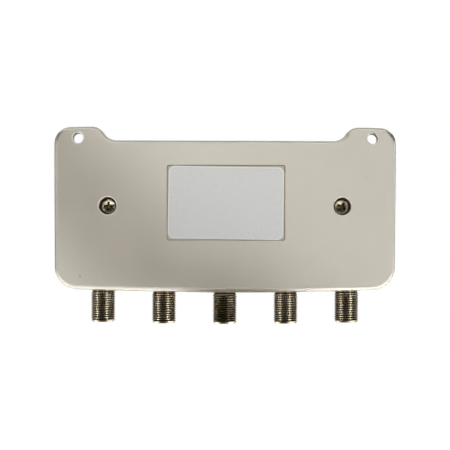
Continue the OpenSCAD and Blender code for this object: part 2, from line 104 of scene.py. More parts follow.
# %% Node and colour helpers
def linear(hex_colour):
    """sRGB hex to a linear colour with alpha."""
    parts = [int(hex_colour[i : i + 2], 16) / 255 for i in (1, 3, 5)]
    return [c / 12.92 if c <= 0.04045 else ((c + 0.055) / 1.055) ** 2.4 for c in parts] + [1.0]


def set_inputs(tree, node, inputs):
    """Links each input that is given a socket, and fills the others."""
    for key, value in inputs.items():
        if isinstance(value, bpy.types.NodeSocket):
            tree.links.new(value, node.inputs[key])
        else:
            node.inputs[key].default_value = value


def add_node(tree, kind, inputs=None, **settings):
    """A new node with its settings made and its inputs set."""
    made = tree.nodes.new(kind)
    for name, value in settings.items():
        setattr(made, name, value)
    set_inputs(tree, made, inputs or {})
    return made


def new_material(name):
    """A new material, with its tree, its shader and its object coordinates."""
    material = bpy.data.materials.new(name)
    material.use_nodes = True
    tree = material.node_tree
    shader = tree.nodes["Principled BSDF"]
    place = add_node(tree, "ShaderNodeTexCoord").outputs["Object"]
    return material, tree, shader, place


def two_tones(tree, place, spot_mm, detail, stops):
    """Noise with spots of that size, and the colour that it picks between two close tones."""
    spots = {"Vector": place, "Scale": 1 / (spot_mm * MM), "Detail": detail}
    noise = add_node(tree, "ShaderNodeTexNoise", spots).outputs["Fac"]
    ramp = add_node(tree, "ShaderNodeValToRGB", {"Fac": noise})
    for stop, (position, tone) in zip(ramp.color_ramp.elements, stops):
        stop.position = position
        stop.color = linear(tone)
    return noise, ramp.outputs["Color"]


print("helpers ready")

# %% [markdown]
# ## The case plastic
#
# The case is moulded ABS in a warm light grey. Such a moulding is satin to gloss: it shows soft
# reflections, and the tool's fine grain breaks them up a little. A single grey would look like
# clay, so the colour drifts slightly with the melt flow, the gloss varies, and a very fine bump
# carries the grain. Use shows as well: a few small marks. Where the surface is closed in, a dull
# brown painted shade darkens it. It could be painted by hand, but Ambient Occlusion finds the
# corners by itself. The rounded rims are painted pale as a highlight; an attribute names them.


# %% Moulded ABS
CLOUD_MM = 22
GRAIN_MM = 0.16  # a tool's grain is finer, and is drawn this coarse so that it shows
MARKS = (  # place across and up, half length, half width, turn in degrees, strength
    (-55.7, -53.4, 0.38, 0.3, 40, 0.5),
    (-49.3, -53.7, 0.3, 0.24, 0, 0.18),
    (54.7, -15.2, 0.9, 0.16, 35, 0.25),
)
PAINTED_SHADE = (  # painted shade: reach in millimetres, openness where it is full and where it ends, most shade
    (6.0, 0.3, 0.75, 1.0),
    (0.9, 0.68, 0.99, 0.85),
)


def moulded_abs():
    """Warm grey moulded ABS: satin gloss, clouds, grain, marks, painted shade in corners, painted pale rims.
    """
    material, tree, shader, place = new_material("moulded_abs")
    cloud, colour = two_tones(tree, place, CLOUD_MM, 3.0, ((0.3, "#BBB198"), (0.7, "#C0B69D")))
    for x, z, length, width, turn, strength in MARKS:
        fit = {"Vector": place, "Location": (x * MM, 0, z * MM), "Rotation": (0, math.radians(turn), 0)}
        fit["Scale"] = (length * MM, 1.0, width * MM)
        spot = add_node(tree, "ShaderNodeMapping", fit, vector_type="TEXTURE").outputs[0]
        away = add_node(tree, "ShaderNodeVectorMath", {0: spot}, operation="LENGTH").outputs["Value"]
        fade = {"Value": away, 1: 0.6, 2: 1.4, 3: strength, 4: 0.0}
        shown = add_node(tree, "ShaderNodeMapRange", fade).outputs[0]
        mix = {"Factor": shown, "A": colour, "B": linear("#4A4234")}
        colour = add_node(tree, "ShaderNodeMix", mix, data_type="RGBA").outputs["Result"]
    # painted highlight: the rims marked in the mesh are painted pale and kept free of painted shade
    rim = add_node(tree, "ShaderNodeAttribute", attribute_name="rim").outputs["Fac"]
    mix = {"Factor": rim, "A": colour, "B": linear("#F4F1EA")}
    colour = add_node(tree, "ShaderNodeMix", mix, data_type="RGBA").outputs["Result"]
    # painted shade: Ambient Occlusion darkens closed-in corners, wells, holes and the label's gap to brown
    painted_shade = []
    for reach, full, end, most in PAINTED_SHADE:
        near = {"Distance": reach * MM}
        air = add_node(tree, "ShaderNodeAmbientOcclusion", near, only_local=True, samples=8)
        fade = {"Value": air.outputs["AO"], 1: full, 2: end, 3: most, 4: 0.0}
        painted_shade.append(add_node(tree, "ShaderNodeMapRange", fade).outputs[0])
    shade_mask = add_node(tree, "ShaderNodeMath", dict(enumerate(painted_shade)), operation="MAXIMUM").outputs[0]
    off_rim = add_node(tree, "ShaderNodeMath", {0: 1.0, 1: rim}, operation="SUBTRACT").outputs[0]
    shade_mask = add_node(tree, "ShaderNodeMath", {0: shade_mask, 1: off_rim}, operation="MULTIPLY").outputs[0]
    mix = {"Factor": shade_mask, "A": colour, "B": linear("#6A4E22")}
    colour = add_node(tree, "ShaderNodeMix", mix, data_type="RGBA").outputs["Result"]
    gloss = add_node(tree, "ShaderNodeMapRange", {"Value": cloud, 3: 0.21, 4: 0.25}).outputs[0]
    # in the painted shade the gloss is rougher and the reflection fades, so the reflection is shaded too
    dull = add_node(tree, "ShaderNodeMix", {"Factor": shade_mask, "A": gloss, "B": 0.7}).outputs["Result"]
    shine = add_node(tree, "ShaderNodeMapRange", {"Value": shade_mask, 3: 1.53, 4: 1.01}).outputs[0]
    noise = {"Vector": place, "Scale": 1 / (GRAIN_MM * MM), "Detail": 2.0}
    grain = add_node(tree, "ShaderNodeTexNoise", noise).outputs["Fac"]
    relief = {"Height": grain, "Strength": 0.06, "Distance": GRAIN_MM * MM}
    bump = add_node(tree, "ShaderNodeBump", relief).outputs["Normal"]
    set_inputs(tree, shader, {"Base Color": colour, "Roughness": dull, "IOR": shine, "Normal": bump})
    return material


abs_plastic = moulded_abs()
print("made", abs_plastic.name)

# %% [markdown]
# ## Outlines of the case
#
# Seen from behind, the case is a rectangle with round lower corners, a bottom edge with a slow
# bow, and an ear at each upper corner that runs down to the top edge in an S of two arcs. It could
# be traced by hand as a curve, but every part of it is an arc or a straight line, so it is written
# as one. Each outline takes a `grow`, which moves it outwards: the rounded edges and the leaning
# walls are then just the same outline at several depths.

# %% Sizes of the case, in millimetres
LEAN = 0.35
EDGE_R = 1.8
CORNER_R = 9
TAPER = 0.3
BOW_R = 1800
EAR_TOP = 4.55
EAR_RISE = 5.3
EAR_FALL = 0.2
EAR_W = 14.4
EAR_T = 4.3
EAR_CORNER_R = 6.4
EAR_BLEND_R = 5.8
EAR_HOLE_R = 2
EAR_HOLE_INSET = 9.3
ROOM = 8
ROOM_R = 3.4
ROOM_CORNER_R = 2.7
WALL = 2


def box_mm(name):
    """Lowest and highest corner of a CAD node, in millimetres."""
    return [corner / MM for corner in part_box(name)]


def middle_mm(name):
    """Middle of a CAD node, in millimetres."""
    low, high = box_mm(name)
    return (low + high) / 2


back_low, back_high = box_mm("back_cover")
PART_Y = back_high.y
CASE_D = box_mm("front_cover")[1].y
HALF_W = back_high.x - LEAN
BODY_TOP = EAR_TOP - EAR_RISE
BODY_LOW = back_low.z + LEAN
EAR_HOLE_X = HALF_W - EAR_HOLE_INSET
bow_z = BODY_LOW + BOW_R
corner_x = HALF_W - TAPER - CORNER_R
corner_z = bow_z - math.sqrt((BOW_R - CORNER_R) ** 2 - corner_x**2)
bow_angle = math.degrees(math.atan(corner_x / (bow_z - corner_z)))
blend_angle = math.degrees(math.acos(1 - EAR_RISE / (2 * EAR_BLEND_R)))
blend_out_x = HALF_W - EAR_W
blend_in_x = blend_out_x - 2 * EAR_BLEND_R * math.sin(math.radians(blend_angle))
room_x = EAR_HOLE_X - ROOM
floor_z = corner_z - CORNER_R + WALL
print("case", round(2 * HALF_W, 2), "x", round(BODY_TOP - BODY_LOW, 2), "x", round(CASE_D, 2), "mm")


# %% Outlines
def arc(x, z, r, start, end, steps, skip=0):
    """Points of an arc in the plane of the back, angles in degrees."""
    turns = [math.radians(start + (end - start) * i / steps) for i in range(skip, steps + 1)]
    return [(x + r * math.cos(a), z + r * math.sin(a)) for a in turns]


def both_halves(half):
    """A closed outline from its right half, which starts at the bottom on the middle line."""
    return half + [(-x, z) for x, z in reversed(half[1:])]


def low_half(grow):
    """Bottom edge, lower corner and side, up to where the driver room starts."""
    bow = arc(0, bow_z, BOW_R + grow, -90, bow_angle - 90, 30)
    corner = arc(corner_x, corner_z, CORNER_R + grow, bow_angle - 90, 0, 24, 1)
    return bow + corner + [(HALF_W + grow, -ROOM - ROOM_CORNER_R)]


def ear_outline(grow, inset=0):
    """The back with its ears. An inset draws in only the ears, for their rounded front edge."""
    tip_z = EAR_TOP - EAR_FALL - EAR_CORNER_R
    tip = arc(HALF_W - EAR_CORNER_R, tip_z, EAR_CORNER_R + grow - inset, 0, 90, 20)
    out = arc(blend_out_x, EAR_TOP - EAR_BLEND_R, EAR_BLEND_R + grow - inset, 90, 90 + blend_angle, 12)
    steps = 12
    into = []
    for i in range(1, steps + 1):
        r = EAR_BLEND_R - grow + inset * (1 - i / steps)
        turn = math.radians(270 + blend_angle * (1 - i / steps))
        into.append((blend_in_x + r * math.cos(turn), BODY_TOP + EAR_BLEND_R + r * math.sin(turn)))
    start = [(HALF_W + grow - inset, -ROOM + ROOM_CORNER_R)]
    return both_halves(low_half(grow) + start + tip + out + into)


def box_outline(grow):
    """The box in front of the ears, with a room for a screwdriver in each upper corner."""
    r = ROOM_CORNER_R
    outer = arc(HALF_W - r, -ROOM - r, r + grow, 0, 90, 8, 1)
    inner = arc(room_x + ROOM_R, -ROOM + ROOM_R, ROOM_R - grow, 270, 180, 10)
    top = arc(room_x - r, BODY_TOP - r, r + grow, 0, 90, 8)
    return both_halves(low_half(grow) + outer + inner + top + [(blend_in_x, BODY_TOP + grow)])


def inside_outline():
    """The space inside the case."""
    x = HALF_W - WALL
    r = CORNER_R - WALL
    step_x = room_x - WALL
    step_z = -ROOM - WALL
    corner = arc(x - TAPER - r, floor_z + r, r, -90, 0, 12)
    return both_halves([(0, floor_z)] + corner + [(x, step_z), (step_x, step_z), (step_x, BODY_TOP - WALL)])


def round_rectangle(w, h, r, steps=10):
    """A rectangle with round corners about the origin."""
    corners = [(w / 2 - r, h / 2 - r, 0), (r - w / 2, h / 2 - r, 90), (r - w / 2, r - h / 2, 180)]
    corners.append((w / 2 - r, r - h / 2, 270))
    return [p for x, z, turn in corners for p in arc(x, z, r, turn, turn + 90, steps)]


def circle(x, z, r, steps=48):
    """A closed circle."""
    return arc(x, z, r, 0, 360 * (steps - 1) / steps, steps - 1)


print("outline points:", len(ear_outline(0)), "with ears,", len(box_outline(0)), "without")

# %% [markdown]
# ## From outlines to a moulding
#
# A moulded cover is a skin of closed rings, one after the other along its depth, and flat faces
# that close the rest. A boolean of solids with a bevel would be quicker to write, but its flat
# faces then shade with dark streaks. Here each rounded edge is a few rings on a quarter circle, so
# its shape is exact and its shading is smooth. The three helpers below make a ring, join rings to
# a skin, and fill the flat region between closed rings.


# %% Helpers for rings
def ring(bm, outline, depth):
    """One closed ring of vertices at a depth."""
    return [bm.verts.new((x * MM, depth * MM, z * MM)) for x, z in outline]


def skin(bm, rings):
    """Faces between each ring and the next."""
    for a, b in zip(rings, rings[1:]):
        for i in range(len(a)):
            j = (i + 1) % len(a)
            bm.faces.new((a[i], a[j], b[j], b[i]))


def fill(bm, rings, facing):
    """Flat faces inside the first ring and round the others."""
    edges = []
    for loop in rings:
        for i, vert in enumerate(loop):
            pair = (vert, loop[(i + 1) % len(loop)])
            edges.append(bm.edges.get(pair) or bm.edges.new(pair))
    bmesh.ops.triangle_fill(bm, use_beauty=True, edges=edges, normal=(0, facing, 0))


def quarter(steps):
    """(sine, cosine) along a quarter turn."""
    turns = [math.pi / 2 * i / steps for i in range(steps + 1)]
    return [(math.sin(a), math.cos(a)) for a in turns]


def bored(bm, x, z, profile):
    """A round hole or boss as rings of (radius, depth); returns its first and its last ring."""
    rings = [ring(bm, circle(x, z, r), depth) for r, depth in profile]
    skin(bm, rings)
    return rings[0], rings[-1]


def rounded_rim(r, depth, rim, sign=1, steps=5):
    """Profile of a hole's rounded rim, from the face at that depth inwards."""
    return [(r + rim * (1 - s), depth + sign * rim * (1 - c)) for s, c in quarter(steps)]


FLAT_COSINE = 0.99999
SOFT_DEGREES = 35
MERGE_MM = 0.0005


def finished_mesh(bm, name):
    """A mesh of the work so far, merged and with its faces outwards."""
    bmesh.ops.remove_doubles(bm, verts=bm.verts, dist=MERGE_MM * MM)
    bmesh.ops.recalc_face_normals(bm, faces=bm.faces)
    mesh = bpy.data.meshes.new(name)
    bm.to_mesh(mesh)
    bm.free()
    return mesh


def smooth_normals(mesh):
    """Normals that blend over rounded edges and keep flat faces flat to their rim."""
    mesh.shade_smooth()
    limit = math.cos(math.radians(SOFT_DEGREES))
    around = [[] for _ in mesh.vertices]
    for face in mesh.polygons:
        for v in face.vertices:
            around[v].append((face.normal.copy(), face.area))
    normals = [None] * len(mesh.loops)
    for face in mesh.polygons:
        for i in face.loop_indices:
            near = [(n, a) for n, a in around[mesh.loops[i].vertex_index] if n.dot(face.normal) > limit]
            flat = [n for n, a in near if abs(n.y) > FLAT_COSINE]
            total = flat[0] if flat else sum((n * a for n, a in near), Vector())
            normals[i] = total.normalized() if total.length > 0 else face.normal.copy()
    mesh.normals_split_custom_set(normals)
    return mesh


def add_piece(name, mesh, material, slot, *replaced):
    """An object for a finished mesh, which rides on the frame and stands for its CAD nodes."""
    made = put(name, mesh)
    mesh.materials.clear()
    mesh.materials.append(material)
    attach(made, "root")
    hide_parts(*replaced)
    print(name, "has", sum(len(p.vertices) - 2 for p in mesh.polygons), "triangles")
    return made


# %% [markdown]
# ## Back cover
#
# The back cover carries the ears, two wells that the case screws sit in, and a shallow recess for
# the label. Every rim that the tool leaves is rounded, and those small rounds are what catches the
# light. The rims of the holes and wells get an attribute that paints them pale as a highlight, and
# the walls of the ear holes a little of it, as painted light. The cover is closed on its inside as
# well, with the tubes that the screws pass through, so that its mesh is a true solid.

# %% Back cover mesh
EAR_ROUND = 0.4
SEAM_ROUND = 0.2
WELL_R = 3.35
WELL_ROUND = 0.5
EAR_HOLE_ROUND = 0.5
EAR_HOLE_CHAMFER = 0.2
HOLE_WALL_LIGHT = 0.25
RECESS_MARGIN = 0.5
RECESS_DEPTH = 0.4
RECESS_CORNER_R = 0.9
RECESS_ROUND = 0.18
RECESS_FOOT = 0.08
SEAT_T = 2
TUBE_WALL = 1.6
SHANK_HOLE_R = 1.7
HEAD_H = 2
LABEL_W = 44.5
LABEL_H = 28

screw_places = [middle_mm("case_screw_left"), middle_mm("case_screw_right")]
HEAD_Y = box_mm("case_screw_left")[0].y
SEAT_Y = HEAD_Y + HEAD_H
BOSS_Y = SEAT_Y + SEAT_T
label_place = middle_mm("blank_label")


def back_wall(depth):
    """How far the back cover's wall stands out at a depth past its rounded edge."""
    return LEAN * (depth - EDGE_R) / (PART_Y - EDGE_R)


def mark_rim_highlights(bm):
    """Marks the rims of the ear holes and wells for a painted highlight, and the ear-hole walls faintly."""
    layer = bm.verts.layers.float.new("rim")
    rounds = [(side * EAR_HOLE_X, 0, EAR_HOLE_R, EAR_HOLE_ROUND) for side in (-1, 1)]
    rounds += [(place.x, place.z, WELL_R, WELL_ROUND) for place in screw_places]
    # painted highlight: full on the rounded rims, faint painted light on the ear-hole walls
    for vert in bm.verts:
        for x, z, r, rim in rounds:
            out = (math.hypot(vert.co.x / MM - x, vert.co.z / MM - z) - r) / rim
            if -0.01 < out < 0.99 and 0 < vert.co.y / MM < 0.95 * rim:
                vert[layer] = 1.0
            elif r == EAR_HOLE_R and -0.01 < out < 0.99 and vert.co.y > 0:
                vert[layer] = HOLE_WALL_LIGHT


def back_cover_mesh():
    """The closed back cover, before the passages for the ports are cut."""
    bm = bmesh.new()
    edge = [(EDGE_R * (1 - c), EDGE_R * (s - 1)) for s, c in quarter(12)]
    rings = [ring(bm, ear_outline(grow), depth) for depth, grow in edge]
    for s, c in quarter(4):
        depth = EAR_T - EAR_ROUND * (1 - s)
        rings.append(ring(bm, ear_outline(back_wall(depth), EAR_ROUND * (1 - c)), depth))
    skin(bm, rings)
    walls = [ring(bm, box_outline(back_wall(EAR_T)), EAR_T)]
    for s, c in quarter(3):
        depth = PART_Y - SEAM_ROUND * (1 - s)
        walls.append(ring(bm, box_outline(back_wall(depth) - SEAM_ROUND * (1 - c)), depth))
    skin(bm, walls)
    inner = [ring(bm, inside_outline(), depth) for depth in (PART_Y, WALL)]
    skin(bm, inner)
    fill(bm, [walls[-1], inner[0]], 1)

    rims, floor_rims = [], []
    for side in (-1, 1):
        hole = rounded_rim(EAR_HOLE_R, 0, EAR_HOLE_ROUND)
        hole += [(EAR_HOLE_R, EAR_T - EAR_HOLE_CHAMFER), (EAR_HOLE_R + EAR_HOLE_CHAMFER, EAR_T)]
        rims.append(bored(bm, side * EAR_HOLE_X, 0, hole)[0])
    for place in screw_places:
        tube_r = WELL_R + TUBE_WALL
        well = rounded_rim(WELL_R, 0, WELL_ROUND)
        well += [(WELL_R, SEAT_Y), (SHANK_HOLE_R, SEAT_Y), (SHANK_HOLE_R, BOSS_Y)]
        well += [(tube_r, BOSS_Y), (tube_r, WALL)]
        first, last = bored(bm, place.x, place.z, well)
        rims.append(first)
        floor_rims.append(last)

    recess = [(RECESS_ROUND * (1 - s), RECESS_ROUND * (1 - c)) for s, c in quarter(4)]
    recess += [(0, RECESS_DEPTH - RECESS_FOOT), (-RECESS_FOOT, RECESS_DEPTH)]
    steps = []
    for grow, depth in recess:
        w = LABEL_W + 2 * (RECESS_MARGIN + grow)
        h = LABEL_H + 2 * (RECESS_MARGIN + grow)
        flat = round_rectangle(w, h, RECESS_CORNER_R + grow)
        steps.append(ring(bm, [(x + label_place.x, z + label_place.z) for x, z in flat], depth))
    skin(bm, steps)
    fill(bm, [steps[-1]], -1)
    fill(bm, [rings[0], steps[0]] + rims, -1)
    fill(bm, [inner[-1]] + floor_rims, 1)

    mark_rim_highlights(bm)
    bmesh.ops.remove_doubles(bm, verts=bm.verts, dist=MERGE_MM * MM)
    open_edges = [e for e in bm.edges if e.is_boundary]
    bmesh.ops.triangle_fill(bm, use_beauty=True, edges=open_edges, normal=(0, 1, 0))
    return finished_mesh(bm, "back_cover_skin")


back_mesh = back_cover_mesh()
print("back cover:", len(back_mesh.polygons), "faces")

# %% [markdown]
# ## Front cover
#
# The front cover is the deeper tray. It has the same outline without the ears, a softer front
# edge, the bosses that the case screws bite into, the posts of the circuit board, and one small
# hole for the power lamp. It is built from the same rings.

# %% Front cover mesh
FRONT_R = 2.5
BOSS_R = 3.5
PILOT_R = 1.55
PILOT_END = 19.8
POST_R = 2.8
POST_INSET = 4.5
POST_PILOT_R = 1.15
POST_PILOT_END = 22.8
BOARD_SIDE_GAP = 4
BOARD_END_GAP = 1.2
LAMP_HOLE_R = 1.6
LAMP_HOLE_ROUND = 0.25

lamp_place = middle_mm("power_lamp")
board_front = box_mm("circuit_board")[1].y
port_places = [middle_mm(f"port_barrel_{i}") for i in range(1, 6)]
port_rear_z = box_mm("port_barrel_1")[1].z
port_gap = port_places[1].x - port_places[0].x
post_x = HALF_W - WALL - BOARD_SIDE_GAP - POST_INSET
post_z = -ROOM - WALL - BOARD_END_GAP - POST_INSET
post_places = [(-post_x, post_z), (post_x, post_z)]
post_places += [(-1.5 * port_gap, port_rear_z - POST_INSET), (1.5 * port_gap, port_rear_z - POST_INSET)]


def front_cover_mesh():
    """The closed front cover, before the passages for the ports are cut."""
    bm = bmesh.new()
    edge_y = CASE_D - FRONT_R
    outer = []
    for s, c in quarter(3):
        outer.append((PART_Y + SEAM_ROUND * (1 - c), LEAN - SEAM_ROUND * (1 - s)))
    outer += [(edge_y + FRONT_R * s, FRONT_R * (c - 1)) for s, c in quarter(12)]
    rings = [ring(bm, box_outline(grow), depth) for depth, grow in outer]
    skin(bm, rings)
    inner_y = CASE_D - WALL
    inner = [ring(bm, inside_outline(), depth) for depth in (PART_Y, inner_y)]
    skin(bm, inner)
    fill(bm, [rings[0], inner[0]], -1)

    floor_rims = []
    holds = [(p.x, p.z, BOSS_R, PILOT_R, BOSS_Y, PILOT_END) for p in screw_places]
    holds += [(x, z, POST_R, POST_PILOT_R, board_front, POST_PILOT_END) for x, z in post_places]
    for x, z, r, pilot, top, end in holds:
        first, last = bored(bm, x, z, [(r, inner_y), (r, top), (pilot, top), (pilot, end)])
        floor_rims.append(first)
        fill(bm, [last], -1)
    rim = rounded_rim(LAMP_HOLE_R, CASE_D, LAMP_HOLE_ROUND, -1)
    first, last = bored(bm, lamp_place.x, lamp_place.z, [(LAMP_HOLE_R, inner_y)] + rim[::-1])
    floor_rims.append(first)
    fill(bm, [inner[-1]] + floor_rims, -1)
    fill(bm, [rings[-1], last], 1)
    return finished_mesh(bm, "front_cover_skin")


front_mesh = front_cover_mesh()
print("front cover:", len(front_mesh.polygons), "faces")

# %% [markdown]
# ## Passages for the ports
#
# The ports lie on the parting line, so each cover has five half-round notches in its bottom wall.
# A boolean cuts both covers with the same five round bars, as the tool's cores would. Only after
# that are the normals set, because a boolean makes new corners.

# %% Cut the passages
PASSAGE_R = 4.535
PASSAGE_LOW = 4
PASSAGE_HIGH = 4


def turned(bm, x, y, profile, steps=64):
    """A closed turned body about a vertical axis, from (radius, height) pairs; zero radius is a pole."""
    rows = []
    for r, z in profile:
        count = 1 if r == 0 else steps
        turn = 2 * math.pi / steps
        spots = [(x + r * math.cos(turn * i), y + r * math.sin(turn * i)) for i in range(count)]
        rows.append([bm.verts.new((px * MM, py * MM, z * MM)) for px, py in spots])
    for a, b in zip(rows, rows[1:]):
        for i in range(steps):
            j = (i + 1) % steps
            corners = [a[i % len(a)], a[j % len(a)], b[j % len(b)], b[i % len(b)]]
            bm.faces.new(list(dict.fromkeys(corners)))


cutter_bm = bmesh.new()
for place in port_places:
    low, high = BODY_LOW - PASSAGE_LOW, BODY_LOW + PASSAGE_HIGH
    turned(cutter_bm, place.x, place.y, [(0, low), (PASSAGE_R, low), (PASSAGE_R, high), (0, high)])
cutter = put("passage_cutter", finished_mesh(cutter_bm, "passage_cutter"))


def evaluated_mesh(made):
    """The object's mesh with its modifiers applied; the object itself is removed."""
    graph = bpy.context.evaluated_depsgraph_get()
    mesh = bpy.data.meshes.new_from_object(made.evaluated_get(graph))
    bpy.data.objects.remove(made)
    return mesh


def cut_by(mesh, tool):
    """The mesh with the tool's shape taken out."""
    made = put("blank", mesh)
    cut = made.modifiers.new("cut", "BOOLEAN")
    cut.operation = "DIFFERENCE"
    cut.solver = "EXACT"
    cut.use_self = True
    cut.object = tool
    return evaluated_mesh(made)


back_mesh = smooth_normals(cut_by(back_mesh, cutter))
front_mesh = smooth_normals(cut_by(front_mesh, cutter))
bpy.data.objects.remove(cutter)
back_cover = add_piece("back_cover_moulding", back_mesh, abs_plastic, "case_plastic", "back_cover")
front_cover = add_piece("front_cover_moulding", front_mesh, abs_plastic, "case_plastic", "front_cover")

# %% [markdown]
# ## Blank label
#
# A label of white film sits in the recess, a little out of true, as a hand puts it there. Film has
# its own look: it is whiter and cooler than the case, its surface has a fine tooth, and its edge is
# never quite flat. A pale band along its edge is painted in as a highlight. Here the edge lifts a
# little along the top. A plain sheet with a bevel would be too even. The film is a skin of rings
# that follow its outline, because the lift runs along the edge.


# %% Label film
TOOTH_MM = 0.35  # a film's tooth is finer, and is drawn this coarse so that it shows


def label_film():
    """White polyester label film: satin, cool white, a fine speckled tooth and a painted edge highlight."""
    material, tree, shader, place = new_material("label_film")
    tooth, colour = two_tones(tree, place, TOOTH_MM, 4.0, ((0.32, "#D4D3CF"), (0.68, "#DDDDD9")))
    # painted highlight: the band along the edge is painted paler
    rim = add_node(tree, "ShaderNodeAttribute", attribute_name="rim").outputs["Fac"]
    mix = {"Factor": rim, "A": colour, "B": linear("#EAEAE7")}
    edge_lit = add_node(tree, "ShaderNodeMix", mix, data_type="RGBA").outputs["Result"]
    relief = {"Height": tooth, "Strength": 0.05, "Distance": TOOTH_MM * MM}
    bump = add_node(tree, "ShaderNodeBump", relief).outputs["Normal"]
    set_inputs(tree, shader, {"Base Color": edge_lit, "Normal": bump, "Roughness": 0.3})
    return material


LABEL_CORNER_R = 2.4
LABEL_T = 0.15
LABEL_TURN = 0.8
LABEL_STEP = 0.6
LIFT_AT = (4.2, 13.6)
LIFT_SIZE = (1.6, 0.7)
LIFT_H = 0.12
CURL_H = 0.09
CURL_MM = 1.3
CURL_START = 6
CURL_RUN = 8
EDGE_HIGHLIGHT_MM = 0.5
FILM_ROUND = 0.04
GLUE_GAP = 0.005
GLUE_INSET = 0.3
FACE_INSETS = (0.15, 0.35, 0.6, 0.9, 1.3, 1.8, 2.4, 3.2, 4.5)


def label_lift(x, z):
    """How far the film stands off its glue at a place on the label."""
    aside, above = (x - LIFT_AT[0]) / LIFT_SIZE[0], (z - LIFT_AT[1]) / LIFT_SIZE[1]
    lift = LIFT_H * math.exp(-(aside**2) - above**2)
    rightwards = min(1, max(0, (x - CURL_START) / CURL_RUN))
    return lift + CURL_H * rightwards * math.exp((z - LABEL_H / 2) / CURL_MM)


def finely(outline, step):
    """The outline with more points on its straight stretches."""
    points = []
    for i, (x, z) in enumerate(outline):
        nx, nz = outline[(i + 1) % len(outline)]
        count = max(1, round(math.hypot(nx - x, nz - z) / step))
        points += [(x + (nx - x) * k / count, z + (nz - z) * k / count) for k in range(count)]
    return points


def label_mesh():
    """The film as rings: its glued underside, its cut edge, and its face from the border inwards."""
    bm = bmesh.new()
    border = bm.verts.layers.float.new("rim")
    turn = math.radians(-LABEL_TURN)
    full = finely(round_rectangle(LABEL_W, LABEL_H, LABEL_CORNER_R, 12), LABEL_STEP)

    def laid(inset, depth, lifted=True):
        made = []
        for px, pz in full:
            x, z = px * (1 - 2 * inset / LABEL_W), pz * (1 - 2 * inset / LABEL_H)
            y = depth - (label_lift(x, z) if lifted else 0)
            tx = x * math.cos(turn) - z * math.sin(turn) + label_place.x
            tz = x * math.sin(turn) + z * math.cos(turn) + label_place.z
            vert = bm.verts.new((tx * MM, y * MM, tz * MM))
            # the band within this distance of the edge is painted pale as a highlight
            vert[border] = 1.0 if inset < EDGE_HIGHLIGHT_MM else 0.0
            made.append(vert)
        return made

    top_y = RECESS_DEPTH - LABEL_T
    glue_y = RECESS_DEPTH - GLUE_GAP
    rings = [laid(GLUE_INSET, glue_y, False), laid(0, glue_y), laid(0, top_y + FILM_ROUND)]
    rings += [laid(inset, top_y) for inset in (FILM_ROUND,) + FACE_INSETS]
    skin(bm, rings)
    fill(bm, [rings[-1]], -1)
    fill(bm, [rings[0]], 1)
    return smooth_normals(finished_mesh(bm, "label_film_sheet"))


label = add_piece("blank_label_film", label_mesh(), label_film(), "label_film", "blank_label")

# %% [markdown]
# ## Port threads
#
# The five ports are turned brass barrels with bright nickel plating. Their outside is a fine
# right-hand thread. Rings of grooves would look right from afar, but a real thread climbs, and at
# the mouth it runs out into a chamfer. A screw modifier could sweep a tooth along a helix, but it
# leaves open ends. So a Geometry Nodes tree shapes a grid: the columns go round the barrel, the
# rows follow the helix, and each point's radius is the smallest of the thread's profile, the
# chamfer's cone and the run-out at the neck. The grid closes where its last column meets the first.
#
# A tree of this size is mostly sums. They are written as a table: each line names a result, the
# operation, and what goes in, which is an input of the tree, an earlier result or a number. The
# tree also stores a painted shade for each point, after how deep it lies in its groove, and full
# just under the wall, where the wall's shadow falls, for the plating to read.

